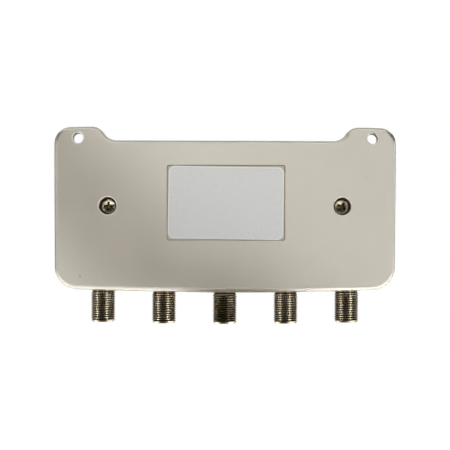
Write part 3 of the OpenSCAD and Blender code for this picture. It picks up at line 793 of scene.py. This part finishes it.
# %% Thread tree
ROWS_PER_TURN = 16
CREST_EDGE = 0.75
CREST_ROUND = 0.02
NECK_SHADOW = 0.5
SEAM_MM = 0.002
THREAD_SIZES = ("Axis X", "Axis Y", "Mouth Z", "Neck Z", "Crest Radius", "Root Radius", "Pitch", "Chamfer")
THREAD_SUMS = (
    ("span", "SUBTRACT", "Neck Z", "Mouth Z"),
    ("pitches", "DIVIDE", "span", "Pitch"),
    ("turns", "CEIL", "pitches"),
    ("rows", "MULTIPLY_ADD", "turns", ROWS_PER_TURN, ROWS_PER_TURN + 1),
    ("columns", "ADD", "Sides", 1),
    ("share", "ADD", "grid x", 0.5),
    ("part", "ADD", "grid y", 0.5),
    ("last", "SUBTRACT", "rows", 1),
    ("count", "MULTIPLY", "part", "last"),
    ("row", "ROUND", "count"),
    ("step", "DIVIDE", "row", ROWS_PER_TURN),
    ("wound", "ADD", "step", "share"),
    ("climb", "SUBTRACT", "wound", 1),
    ("rise", "MULTIPLY_ADD", "climb", "Pitch", "Mouth Z"),
    ("kept low", "MAXIMUM", "rise", "Mouth Z"),
    ("height", "MINIMUM", "kept low", "Neck Z"),
    ("phase", "FRACT", "step"),
    ("swing", "MULTIPLY_ADD", "phase", 2, -1),
    ("wave", "ABSOLUTE", "swing"),
    ("flank end", "SUBTRACT", "Crest Radius", CREST_ROUND * MM),
    ("flank", "MAP_RANGE", "wave", 0.0, CREST_EDGE, "Root Radius", "flank end"),
    ("crown", "MAP_RANGE", "wave", CREST_EDGE, 1.0, 0.0, CREST_ROUND * MM),
    ("tooth", "ADD", "flank", "crown"),
    ("mouth radius", "SUBTRACT", "Crest Radius", "Chamfer"),
    ("from mouth", "SUBTRACT", "height", "Mouth Z"),
    ("cone", "ADD", "mouth radius", "from mouth"),
    ("to neck", "SUBTRACT", "Neck Z", "height"),
    ("runout", "ADD", "Root Radius", "to neck"),
    ("in cone", "MINIMUM", "tooth", "cone"),
    ("radius", "MINIMUM", "in cone", "runout"),
    ("turn", "MULTIPLY", "share", 2 * math.pi),
    ("cosine", "COSINE", "turn"),
    ("sine", "SINE", "turn"),
    ("x", "MULTIPLY_ADD", "radius", "cosine", "Axis X"),
    ("y", "MULTIPLY_ADD", "radius", "sine", "Axis Y"),
    # painted shade: dark in the grooves, and full just under the wall, where its shadow falls
    ("shade", "MAP_RANGE", "wave", 0.0, CREST_EDGE, 1.0, 0.0),
    ("on thread", "LESS_THAN", "tooth", "cone"),
    ("depth", "MULTIPLY", "shade", "on thread"),
    ("at neck", "LESS_THAN", "to neck", NECK_SHADOW * MM),
    ("thread_shade", "MAXIMUM", "depth", "at neck"),
)


def thread_tree():
    """A tree that adds a threaded skin about a vertical axis to what comes in."""
    tree = bpy.data.node_groups.new("wound_thread", "GeometryNodeTree")
    inputs = [("Geometry", "Geometry")] + [(name, "Float") for name in THREAD_SIZES]
    for name, kind in inputs + [("Sides", "Int"), ("Material", "Material")]:
        tree.interface.new_socket(name, in_out="INPUT", socket_type="NodeSocket" + kind)
    tree.interface.new_socket("Geometry", in_out="OUTPUT", socket_type="NodeSocketGeometry")
    known = {socket.name: socket for socket in add_node(tree, "NodeGroupInput").outputs}
    spot = add_node(tree, "GeometryNodeInputPosition").outputs[0]
    spot = add_node(tree, "ShaderNodeSeparateXYZ", {0: spot})
    known["grid x"], known["grid y"] = spot.outputs["X"], spot.outputs["Y"]
    for name, operation, *parts in THREAD_SUMS:
        values = {i: known.get(part, part) for i, part in enumerate(parts)}
        if operation == "MAP_RANGE":
            known[name] = add_node(tree, "ShaderNodeMapRange", values).outputs[0]
        else:
            known[name] = add_node(tree, "ShaderNodeMath", values, operation=operation).outputs[0]

    counts = {"Size X": 1.0, "Size Y": 1.0, "Vertices X": known["columns"], "Vertices Y": known["rows"]}
    grid = add_node(tree, "GeometryNodeMeshGrid", counts).outputs["Mesh"]
    store = {"Geometry": grid, "Name": "thread_shade", "Value": known["thread_shade"]}
    marked = add_node(tree, "GeometryNodeStoreNamedAttribute", store, data_type="FLOAT", domain="POINT")
    place = add_node(tree, "ShaderNodeCombineXYZ", {"X": known["x"], "Y": known["y"], "Z": known["height"]})
    move = {"Geometry": marked.outputs[0], "Position": place.outputs[0]}
    bent = add_node(tree, "GeometryNodeSetPosition", move).outputs[0]
    joined = add_node(tree, "GeometryNodeJoinGeometry", {0: bent})
    tree.links.new(known["Geometry"], joined.inputs[0])
    merge = {"Geometry": joined.outputs[0], "Distance": SEAM_MM * MM}
    closed = add_node(tree, "GeometryNodeMergeByDistance", merge).outputs[0]
    real = add_node(tree, "GeometryNodeRealizeInstances", {"Geometry": closed}).outputs[0]
    paint = {"Geometry": real, "Material": known["Material"]}
    add_node(tree, "NodeGroupOutput", {0: add_node(tree, "GeometryNodeSetMaterial", paint).outputs[0]})
    return tree


def with_thread(mesh, tree, sizes):
    """The mesh with a thread added by the tree, as the start of a new mesh."""
    made = put("threaded", mesh)
    threads = made.modifiers.new("thread", "NODES")
    threads.node_group = tree
    for item in tree.interface.items_tree:
        if item.in_out == "INPUT" and item.name in sizes:
            threads[item.identifier] = sizes[item.name]
    made.update_tag()
    bm = bmesh.new()
    bm.from_mesh(evaluated_mesh(made))
    return bm


thread = thread_tree()
print("thread tree has", len(thread.nodes), "nodes")

# %% [markdown]
# ## Nickel plating
#
# Bright nickel over turned brass is a warm grey mirror. On a fine thread the mirror breaks into
# rows of bright dots, and the grooves stay dark because they mostly see each other. Handling dulls
# it unevenly. The grooves, and the neck just under the wall, are darkened further by painted
# shade. A second material on the groove faces would end with a hard edge, so an attribute mixes
# the painted shade in. The metal keeps the default IOR; its colour is the reflection's tint.


# %% Plated nickel
NICKEL_WEAR_MM = 3.0


def plated_nickel():
    """Bright nickel on turned brass: warm, dulled in patches, with painted shade in grooves and neck."""
    material, tree, shader, place = new_material("plated_nickel")
    wear, colour = two_tones(tree, place, NICKEL_WEAR_MM, 4.0, ((0.35, "#A3967F"), (0.65, "#B9AF9C")))
    rough = add_node(tree, "ShaderNodeMapRange", {"Value": wear, 3: 0.28, 4: 0.34}).outputs[0]
    # painted shade: the grooves and the neck under the wall are darkened
    thread_shade = add_node(tree, "ShaderNodeAttribute", attribute_name="thread_shade").outputs["Fac"]
    mix = {"Factor": thread_shade, "A": colour, "B": linear("#4A4030")}
    thread_shaded = add_node(tree, "ShaderNodeMix", mix, data_type="RGBA").outputs["Result"]
    set_inputs(tree, shader, {"Base Color": thread_shaded, "Roughness": rough, "Metallic": 1.0})
    return material


nickel = plated_nickel()
print("made", nickel.name)

# %% [markdown]
# ## Port barrels
#
# Behind its thread each barrel has a neck that passes through the wall, a square block inside the
# case, a round rear body and two legs into the board. The mouth is a flat ring round the bore that
# holds the bead. These are turned and squared in mesh code, and the tree adds the thread between
# the mouth and the neck.

# %% Build the ports
THREAD_R = 4.7625
ROOT_R = 4.2
PITCH = 0.888  # as wound on the real ports; the CAD rings keep the standard 0.794
MOUTH_CHAMFER = 0.8
PORT_SIDES = 72
NECK_GAP = 0.12
NECK_LAP = 0.5
BORE_R = 3.3
BORE_CHAMFER = 0.15
BEAD_END = 9.6
TAIL_BORE_R = 1
REAR_R = 4.2
REAR_CHAMFER = 0.2
BLOCK_W = 11.6
BLOCK_H = 3.2
BLOCK_EDGE = 0.3
BLOCK_GAP = 0.1
LEG_R = 0.6
LEG_INSET = 1.6
LEG_TIP = 0.3

LEG_END_Y = box_mm("port_barrel_1")[1].y
block_z = floor_z + BLOCK_GAP


def wall_low(x):
    """Height of the bottom wall's lowest line at a place along the row of ports."""
    return bow_z - math.sqrt((BOW_R + LEAN) ** 2 - x**2)


def block_with_edges(bm, x, y, z, w, h, edge):
    """A square block with softened edges."""
    made = bmesh.ops.create_cube(bm, size=1)["verts"]
    bmesh.ops.scale(bm, verts=made, vec=(w * MM, w * MM, h * MM))
    bmesh.ops.translate(bm, verts=made, vec=Vector((x, y, z)) * MM)
    edges = {e for v in made for e in v.link_edges}
    bmesh.ops.bevel(bm, geom=list(edges), offset=edge * MM, segments=2, affect="EDGES", profile=0.5)


def port_body(place, neck_top, mouth_z):
    """Everything of a barrel but its thread."""
    bm = bmesh.new()
    shoulder = mouth_z + BEAD_END
    neck_end = block_z + NECK_LAP
    profile = [(ROOT_R, neck_top), (ROOT_R, neck_end), (REAR_R, neck_end)]
    profile += [(REAR_R, port_rear_z - REAR_CHAMFER), (REAR_R - REAR_CHAMFER, port_rear_z)]
    profile += [(TAIL_BORE_R, port_rear_z), (TAIL_BORE_R, shoulder), (BORE_R, shoulder)]
    profile += [(BORE_R, mouth_z + BORE_CHAMFER), (BORE_R + BORE_CHAMFER, mouth_z)]
    profile.append((THREAD_R - MOUTH_CHAMFER, mouth_z))
    turned(bm, place.x, PART_Y, profile, PORT_SIDES)
    block_with_edges(bm, place.x, PART_Y, block_z + BLOCK_H / 2, BLOCK_W, BLOCK_H, BLOCK_EDGE)
    for side in (-1, 1):
        x = place.x + side * (BLOCK_W / 2 - LEG_INSET)
        leg = []
        for y in (PART_Y + BLOCK_W / 2 - NECK_LAP, LEG_END_Y - LEG_TIP, LEG_END_Y):
            r = LEG_R - (LEG_TIP if y == LEG_END_Y else 0)
            leg.append(ring(bm, circle(x, block_z + BLOCK_H / 2, r, 24), y))
        skin(bm, leg)
        bm.faces.new(leg[0])
        bm.faces.new(leg[-1])
    return finished_mesh(bm, "port_body")


ports = []
for number, place in enumerate(port_places, 1):
    node = f"port_barrel_{number}"
    neck_top = wall_low(place.x) - NECK_GAP
    mouth_z = box_mm(node)[0].z
    sizes = {
        "Axis X": place.x * MM,
        "Axis Y": PART_Y * MM,
        "Mouth Z": mouth_z * MM,
        "Neck Z": neck_top * MM,
        "Crest Radius": THREAD_R * MM,
        "Root Radius": ROOT_R * MM,
        "Pitch": PITCH * MM,
        "Chamfer": MOUTH_CHAMFER * MM,
        "Sides": PORT_SIDES,
        "Material": nickel,
    }
    threaded = with_thread(port_body(place, neck_top, mouth_z), thread, sizes)
    barrel_mesh = smooth_normals(finished_mesh(threaded, f"port_{number}"))
    ports.append(add_piece(node + "_turned", barrel_mesh, nickel, "port_plating", node))

# %% [markdown]
# ## Case screws
#
# Two pan-head screws close the case from the back. Each sits deep in its well, so only its domed
# head shows, with a cross recess that the driver has marked. A flat disc with a dark cross painted
# on would do from afar, but the dome's reflection is what makes it metal. The head is turned like
# the ports, the cross is cut by a boolean with two tapered wedges, and the same tree winds the
# coarse thread of the shank.


# %% Build the screws
HEAD_R = 3.1
HEAD_EDGE = 0.1
DOME_R = 12
SHOULDER_R = 0.7
SHANK_R = 1.5
SHANK_ROOT_R = 1.1
SHANK_L = 14
SHANK_POINT = 1.5
SHANK_TIP_R = 0.3
SHANK_SIDES = 32
SCREW_PITCH = 1.1
THREAD_START = 0.3
CROSS_L = 4.0
CROSS_W = 1.0
CROSS_DEPTH = 1.4
CROSS_ABOVE = 0.3
CROSS_TIP = (0.5, 0.55)
CROSS_TURNS = (3, 32)
STEEL_WEAR_MM = 0.9
STEEL_SHADE_MM = 1.0


def plated_steel():
    """Nickel-plated steel gone dull: brownish, worn in patches, with painted shade in the cross."""
    material, tree, shader, place = new_material("plated_steel")
    wear, colour = two_tones(tree, place, STEEL_WEAR_MM, 3.0, ((0.35, "#6A614E"), (0.65, "#B5AA94")))
    rough = add_node(tree, "ShaderNodeMapRange", {"Value": wear, 3: 0.22, 4: 0.27}).outputs[0]
    # painted shade: Ambient Occlusion darkens the cross recess
    reach = {"Distance": STEEL_SHADE_MM * MM}
    air = add_node(tree, "ShaderNodeAmbientOcclusion", reach, only_local=True, samples=8).outputs["AO"]
    painted_shade = add_node(tree, "ShaderNodeMapRange", {"Value": air, 1: 0.35, 2: 0.9, 3: 1.0, 4: 0.0}).outputs[0]
    mix = {"Factor": painted_shade, "A": colour, "B": linear("#17120A")}
    shade_darkened = add_node(tree, "ShaderNodeMix", mix, data_type="RGBA").outputs["Result"]
    set_inputs(tree, shader, {"Base Color": shade_darkened, "Roughness": rough, "Metallic": 1.0})
    return material


def upright_screw():
    """A screw about the vertical axis, head down, with the top of its head at zero height."""
    bm = bmesh.new()
    flat_r = HEAD_R - SHOULDER_R
    end = HEAD_H + SHANK_L
    dome = [flat_r * i / 8 for i in range(9)]
    top = [(r, DOME_R - math.sqrt(DOME_R**2 - r * r)) for r in dome]
    drop = top[-1][1]
    top += [(flat_r + SHOULDER_R * s, drop + SHOULDER_R * (1 - c)) for s, c in quarter(8)[1:]]
    rest = [(HEAD_R, HEAD_H - HEAD_EDGE), (HEAD_R - HEAD_EDGE, HEAD_H), (SHANK_ROOT_R, HEAD_H)]
    rest += [(SHANK_ROOT_R, end - SHANK_POINT), (SHANK_TIP_R, end), (0, end)]
    turned(bm, 0, 0, top + rest, 48)
    return finished_mesh(bm, "screw")


def cross_cutter():
    """Two crossed wedges that narrow with depth."""
    bm = bmesh.new()
    for turn in (0, 90):
        c, s = math.cos(math.radians(turn)), math.sin(math.radians(turn))
        corners = []
        tip = (CROSS_L * CROSS_TIP[0], CROSS_W * CROSS_TIP[1], CROSS_DEPTH)
        for length, width, z in ((CROSS_L, CROSS_W, -CROSS_ABOVE), tip):
            for px, py in ((1, 1), (-1, 1), (-1, -1), (1, -1)):
                x, y = px * length / 2, py * width / 2
                corners.append(bm.verts.new(((x * c - y * s) * MM, (x * s + y * c) * MM, z * MM)))
        bm.faces.new(corners[:4])
        bm.faces.new(corners[4:])
        for i in range(4):
            j = (i + 1) % 4
            bm.faces.new((corners[i], corners[j], corners[4 + j], corners[4 + i]))
    return finished_mesh(bm, "cross_cutter")


cross = put("cross_cutter", cross_cutter())
steel = plated_steel()
screws = []
for side, place, turn in zip(("left", "right"), screw_places, CROSS_TURNS):
    sizes = {
        "Mouth Z": (HEAD_H + THREAD_START) * MM,
        "Neck Z": (HEAD_H + SHANK_L - SHANK_POINT) * MM,
        "Crest Radius": SHANK_R * MM,
        "Root Radius": SHANK_ROOT_R * MM,
        "Pitch": SCREW_PITCH * MM,
        "Chamfer": (SHANK_R - SHANK_ROOT_R) * MM,
        "Sides": SHANK_SIDES,
        "Material": steel,
    }
    bm = with_thread(cut_by(upright_screw(), cross), thread, sizes)
    c, s = math.cos(math.radians(turn)), math.sin(math.radians(turn))
    for vert in bm.verts:
        x, y, z = vert.co
        vert.co = (place.x * MM + x * c - y * s, HEAD_Y * MM + z, place.z * MM - x * s - y * c)
    screw_mesh = smooth_normals(finished_mesh(bm, f"screw_{side}"))
    node = f"case_screw_{side}"
    screws.append(add_piece(node + "_pan_head", screw_mesh, steel, "screw_steel", node))
bpy.data.objects.remove(cross)

# %% [markdown]
# ## Finishes of the pieces that keep their CAD shape
#
# The beads and contacts inside the ports, the lamp, and everything on the circuit board have the
# right shape already, so they keep it. Each gets the finish of its real material. They are small
# or hidden, so one table gives each finish its two tones, metal, roughness, grain size and nodes,
# and one function makes them all.

# %% Finishes for carried-over nodes
BEADS = [f"port_bead_{i}" for i in range(1, 6)]
CONTACTS = [f"port_contact_{i}" for i in range(1, 6)]
CHIPS = ["amplifier_chip", "voltage_regulator"]
FINISHES = {
    "moulded_polyethylene": ("#E9E6DD", "#F2F0EA", 0.0, 0.45, 0.8, BEADS),  # waxy soft white
    "stamped_brass": ("#B58A3C", "#D8B265", 1.0, 0.28, 0.6, CONTACTS),  # smooth yellow metal
    "lacquered_laminate": ("#1F5A30", "#2F7A45", 0.0, 0.35, 1.2, ["circuit_board"]),  # green, half gloss
    "tin_plate": ("#A9ABAD", "#C9CBCC", 1.0, 0.32, 2.5, ["shield_frame", "shield_lid"]),  # cool soft mirror
    "moulded_epoxy": ("#191919", "#262627", 0.0, 0.55, 0.3, CHIPS),  # dull black
    "fired_ferrite": ("#3A3A3D", "#505054", 0.0, 0.6, 0.4, ["splitter_cores"]),  # dark and stony
    "fired_ceramic": ("#5E4C38", "#7A654B", 0.0, 0.4, 0.5, ["chip_parts"]),  # brown, faintly glazed
    "enamelled_copper": ("#7A3A1E", "#A5572F", 1.0, 0.3, 0.35, ["power_choke"]),  # glossy red-brown
    "drawn_aluminium": ("#BFC0C1", "#D9DADB", 1.0, 0.3, 1.0, ["filter_capacitors"]),  # pale and bright
}


def grained(name, dark, light, metal, roughness, grain_mm):
    """A finish with two close tones and a grain of the given size."""
    material, tree, shader, place = new_material(name)
    colour = two_tones(tree, place, grain_mm, 3.0, ((0.3, dark), (0.7, light)))[1]
    set_inputs(tree, shader, {"Base Color": colour, "Roughness": roughness, "Metallic": metal})
    return material


def dress(names, material):
    """Gives CAD nodes their finish."""
    for name in names:
        mesh = nodes[name].data
        mesh.materials.clear()
        mesh.materials.append(material)


for finish, (*look, names) in FINISHES.items():
    dress(names, grained(finish, *look))
dress(["board_screws"], steel)
print("finishes:", ", ".join(FINISHES))

# %% [markdown]
# ## Power lamp
#
# The lamp is a small light-emitting diode: a clear green epoxy dome, flush in the front. It is not
# lit here. A glowing shader would be wrong for that. Epoxy bends light like glass, so it transmits
# with a green tint and a polished surface.


# %% Epoxy lens
LENS_CLOUD_MM = 1.0


def epoxy_lens():
    """Tinted clear epoxy: polished, green, faintly cloudy inside."""
    material, tree, shader, place = new_material("epoxy_lens")
    colour = two_tones(tree, place, LENS_CLOUD_MM, 2.0, ((0.0, "#3FA455"), (1.0, "#7BD48C")))[1]
    look = {"Base Color": colour, "Roughness": 0.08, "IOR": 1.52, "Transmission Weight": 0.55}
    set_inputs(tree, shader, look)
    return material


dress(["power_lamp"], epoxy_lens())
print("dressed", len(nodes), "nodes")

# %% [markdown]
# ## Floor and background
#
# The object is shown on plain white. The world is white to the camera and in reflections, and
# lights the object only faintly otherwise. The floor lies well below the ports. It is white to the
# camera, keeps the soft shadow that falls on it, and stays out of reflections, because the lamps
# below it have to show there. A strong light on a white floor would do the same, but it would also
# wash out the object.

# %% World and floor
FLOOR_Z = -170
FLOOR_HALF = 3.0
FLOOR_GLOW = 0.92
AMBIENT = 0.1
bpy.context.scene.view_settings.view_transform = "Standard"


def seen_directly(tree):
    """1 for rays from the camera, from a reflection or through glass, and 0 for other light."""
    path = add_node(tree, "ShaderNodeLightPath").outputs
    either = path["Is Camera Ray"]
    for kind in ("Is Glossy Ray", "Is Transmission Ray"):
        either = add_node(tree, "ShaderNodeMath", {0: either, 1: path[kind]}, operation="MAXIMUM").outputs[0]
    return either


world = bpy.data.worlds.new("white_studio")
bpy.context.scene.world = world
world.use_nodes = True
sky = world.node_tree
level = add_node(sky, "ShaderNodeMapRange", {"Value": seen_directly(sky), 3: AMBIENT, 4: 1.0}).outputs[0]
set_inputs(sky, sky.nodes["Background"], {"Color": linear("#FFFFFF"), "Strength": level})

paper, tree, shader, _ = new_material("white_paper")
glow = add_node(tree, "ShaderNodeMapRange", {"Value": seen_directly(tree), 3: 0.0, 4: FLOOR_GLOW}).outputs[0]
set_inputs(tree, shader, {"Base Color": linear("#E8E8E8"), "Roughness": 0.9, "Specular IOR Level": 0.0})
set_inputs(tree, shader, {"Emission Color": linear("#FFFFFF"), "Emission Strength": glow})
floor_mesh = bpy.data.meshes.new("floor")
square = [(-1, -1), (1, -1), (1, 1), (-1, 1)]
corners = [(x * FLOOR_HALF, y * FLOOR_HALF, FLOOR_Z * MM) for x, y in square]
floor_mesh.from_pydata(corners, [], [(0, 1, 2, 3)])
floor_mesh.materials.append(paper)
floor = put("floor", floor_mesh)
floor.visible_glossy = False
floor.visible_shadow = False
print("floor at", FLOOR_Z, "mm")

# %% [markdown]
# ## Lamps
#
# Gloss shows the shape of every lamp, while matt light only adds up. So each lamp says what it is
# for: matt light without a reflection, both, or only the gloss of one kind of piece. Light linking
# does the last: a lamp with a receiver collection lights only the pieces in it. One big soft light
# would be simpler, but a plate, a thread and a sunk screw each need a reflection of their own to
# read well. Strengths are radiances, so a lamp can be resized and still shows as bright. The lamps
# under the lower edge are strong only close to the object, so that the flat back doesn't mirror a
# bright lamp when it is seen from a corner.

# %% Place the lamps
LAMPS = {  # place, aim and size in metres, brightness as a mirror shows it, what it is for
    "fill_left": ((-0.5, -0.35, 0.1), (0.0, 0.0, -0.03), (0.3, 0.3), 3.0, "matt"),
    "front_key": ((0.3, 0.7, 0.4), (0.0, 0.0, -0.03), (0.5, 0.5), 2.0, "both"),
    "table_left": ((-0.45, 0.55, -0.68), (-0.45, 0.5501, 0.0), (0.3, 0.8), 4.0, "ports"),
    "table_right": ((0.38, 0.5, -0.68), (0.38, 0.5001, 0.0), (0.44, 0.9), 4.0, "ports"),
    "limb_left": ((-0.6, 0.15, -0.06), (0.0, 0.01, -0.06), (0.4, 0.4), 1.0, "ports"),
    "limb_right": ((0.6, 0.15, -0.06), (0.0, 0.01, -0.06), (0.4, 0.4), 1.0, "ports"),
    "under_glow": ((0.0, 0.25, -0.165), (0.0, 0.2501, 0.0), (1.2, 0.5), 0.3, "matt"),
    "side_left": ((-0.6, 0.2, -0.03), (0.0, 0.1, -0.03), (0.3, 0.4), 1.5, "matt"),
    "side_right": ((0.6, 0.2, -0.03), (0.0, 0.1, -0.03), (0.3, 0.4), 4.0, "matt"),
    "back_left": ((-0.6, 0.8, -0.03), (0.0, 0.3, -0.03), (1.2, 0.6), 0.4, "plastic"),
    "back_right": ((0.6, 0.8, -0.03), (0.0, 0.3, -0.03), (1.2, 0.6), 1.6, "plastic"),
    "low_left": ((-0.26, -0.295, -0.162), (-0.26, -0.2951, 0.0), (0.48, 0.33), 6.5, "plastic"),
    "edge_low_left": ((-0.26, -0.05, -0.162), (-0.26, -0.0501, 0.0), (0.48, 0.16), 15.0, "plastic"),
    "low_near": ((0.035, -0.305, -0.162), (0.035, -0.3051, 0.0), (0.02, 0.31), 6.5, "plastic"),
    "low_right": ((0.27, -0.295, -0.162), (0.27, -0.2951, 0.0), (0.45, 0.33), 8.5, "plastic"),
    "edge_low_right": ((0.265, -0.05, -0.162), (0.265, -0.0501, 0.0), (0.46, 0.16), 18.0, "plastic"),
    "under_left": ((-0.26, 0.315, -0.162), (-0.26, 0.3151, 0.0), (0.48, 0.57), 1.85, "plastic"),
    "under_right": ((0.27, 0.315, -0.162), (0.27, 0.3151, 0.0), (0.45, 0.57), 2.0, "plastic"),
    "high_front": ((0.0, -0.30, 0.52), (0.0, 0.0, 0.0), (0.9, 0.4), 9.5, "plastic"),
    "high_back": ((0.0, 0.3, 0.5), (0.0, 0.3001, 0.0), (1.2, 0.8), 2.4, "plastic"),
    "edge_left": ((-0.61, -0.254, -0.03), (-0.066, 0.0, -0.03), (0.58, 0.4), 4.5, "plastic"),
    "edge_right": ((0.61, -0.19, -0.03), (0.066, 0.0, -0.03), (0.58, 0.4), 8.5, "plastic"),
    "screw_glow": ((-0.06, -0.42, 0.12), (0.0, 0.0, -0.03), (0.3, 0.12), 4.2, "screws"),
    "screw_low": ((0.0, -0.42, -0.25), (0.0, 0.0, -0.03), (0.5, 0.1), 0.22, "screws"),
    "screw_left": ((-0.25, -0.42, -0.02), (0.0, 0.0, -0.03), (0.07, 0.3), 0.25, "screws"),
    "screw_right": ((0.25, -0.42, -0.02), (0.0, 0.0, -0.03), (0.07, 0.3), 0.25, "screws"),
    "strip_right": ((0.448, -0.534, 0.0), (0.0, 0.01, -0.06), (0.12, 0.5), 21.0, "outer_ports"),
    "strip_left": ((-0.585, -0.38, 0.0), (0.0, 0.01, -0.06), (0.09, 0.5), 21.0, "outer_ports"),
    "strip_middle": ((0.448, -0.534, 0.0), (0.0, 0.01, -0.06), (0.14, 0.5), 3.0, "middle_port"),
}

receivers = {}
for kind, pieces in (
    ("plastic", (back_cover, front_cover, label)),
    ("screws", screws),
    ("ports", ports),
    ("outer_ports", ports[:2] + ports[3:]),
    ("middle_port", ports[2:3]),
):
    receivers[kind] = bpy.data.collections.new(f"only_{kind}")
    for piece in pieces:
        receivers[kind].objects.link(piece)


def add_lamp(name, place, turn, size, radiance, seen):
    """A soft rectangular lamp; its last word says whose matt colour or gloss it lights."""
    light = bpy.data.lights.new(name, "AREA")
    light.shape = "RECTANGLE"
    light.size, light.size_y = size
    light.energy = radiance * math.pi * size[0] * size[1]
    made = put(name, light)
    made.location = place
    made.rotation_euler = turn.to_euler()
    made.visible_glossy = seen != "matt"
    made.visible_diffuse = seen in ("matt", "both")
    if seen in receivers:
        made.light_linking.receiver_collection = receivers[seen]


for name, (place, aim, size, radiance, seen) in LAMPS.items():
    turn = (Vector(aim) - Vector(place)).to_track_quat("-Z", "Y").to_matrix()
    add_lamp(name, place, turn, size, radiance, seen)
print("lamps:", ", ".join(LAMPS))

# %% [markdown]
# ## Panel behind the camera
#
# The plate's gloss shows what stands behind the camera: a wide soft panel with a slanted dark slit
# that the camera looks through. One lamp with a picture on it could hold the whole pattern. Bands
# on both sides of the slit are plainer, and each has a brightness of its own.

# %% Panel with a slit
SLIT_DEGREES = 48
BANDS = [
    ((-0.45, -0.28), (-0.45, 0.05), 4.0),
    ((-0.14, -0.09), (-0.3, 0.1), 18.0),
    ((0.0, 0.035), (-0.3, -0.025), 11.0),
    ((0.035, 0.08), (-0.3, 0.3), 10.2),
    ((0.08, 0.42), (-0.3, 0.3), 8.1),
]

slant = math.radians(SLIT_DEGREES)
along = Vector((math.cos(slant), 0, -math.sin(slant)))
across = Vector((math.sin(slant), 0, math.cos(slant)))
for (near, far), (start, end), radiance in BANDS:
    place = camera.location + across * (near + far) / 2 + along * (start + end) / 2
    turn = Matrix((along, across, (0, -1, 0))).transposed()
    add_lamp(f"panel_{round(near / MM)}", place, turn, (end - start, far - near), radiance, "plastic")
print("panel of", len(BANDS), "bands")

# %% [markdown]
# ## Dark tent
#
# A studio is dark behind the lamps, and a bright metal shows that. A dark world would do it, but
# the world has to be white to the camera. So a dark tent, open to the front, stands round the
# object. It is seen only in reflections: it neither blocks light nor shows in the picture.

# %% Dark tent
TENT = ((-0.9, 0.9), (-0.9, 1.6), (-0.9, 0.7))

cloth, tree, shader, _ = new_material("dark_cloth")
set_inputs(tree, shader, {"Base Color": linear("#000000"), "Specular IOR Level": 0.0})
set_inputs(tree, shader, {"Emission Color": linear("#4A4438"), "Emission Strength": 1.0})
(x0, x1), (y0, y1), (z0, z1) = TENT
corners = [(x, y, z) for z in (z0, z1) for x, y in ((x0, y1), (x0, y0), (x1, y0), (x1, y1))]
walls = [(0, 1, 5, 4), (1, 2, 6, 5), (2, 3, 7, 6), (0, 3, 2, 1), (4, 5, 6, 7)]
tent_mesh = bpy.data.meshes.new("dark_tent")
tent_mesh.from_pydata(corners, [], walls)
tent_mesh.materials.append(cloth)
tent = put("dark_tent", tent_mesh)
tent.visible_camera = False
tent.visible_diffuse = False
tent.visible_shadow = False
tent.visible_transmission = False
print("tent of", len(walls), "cloths")
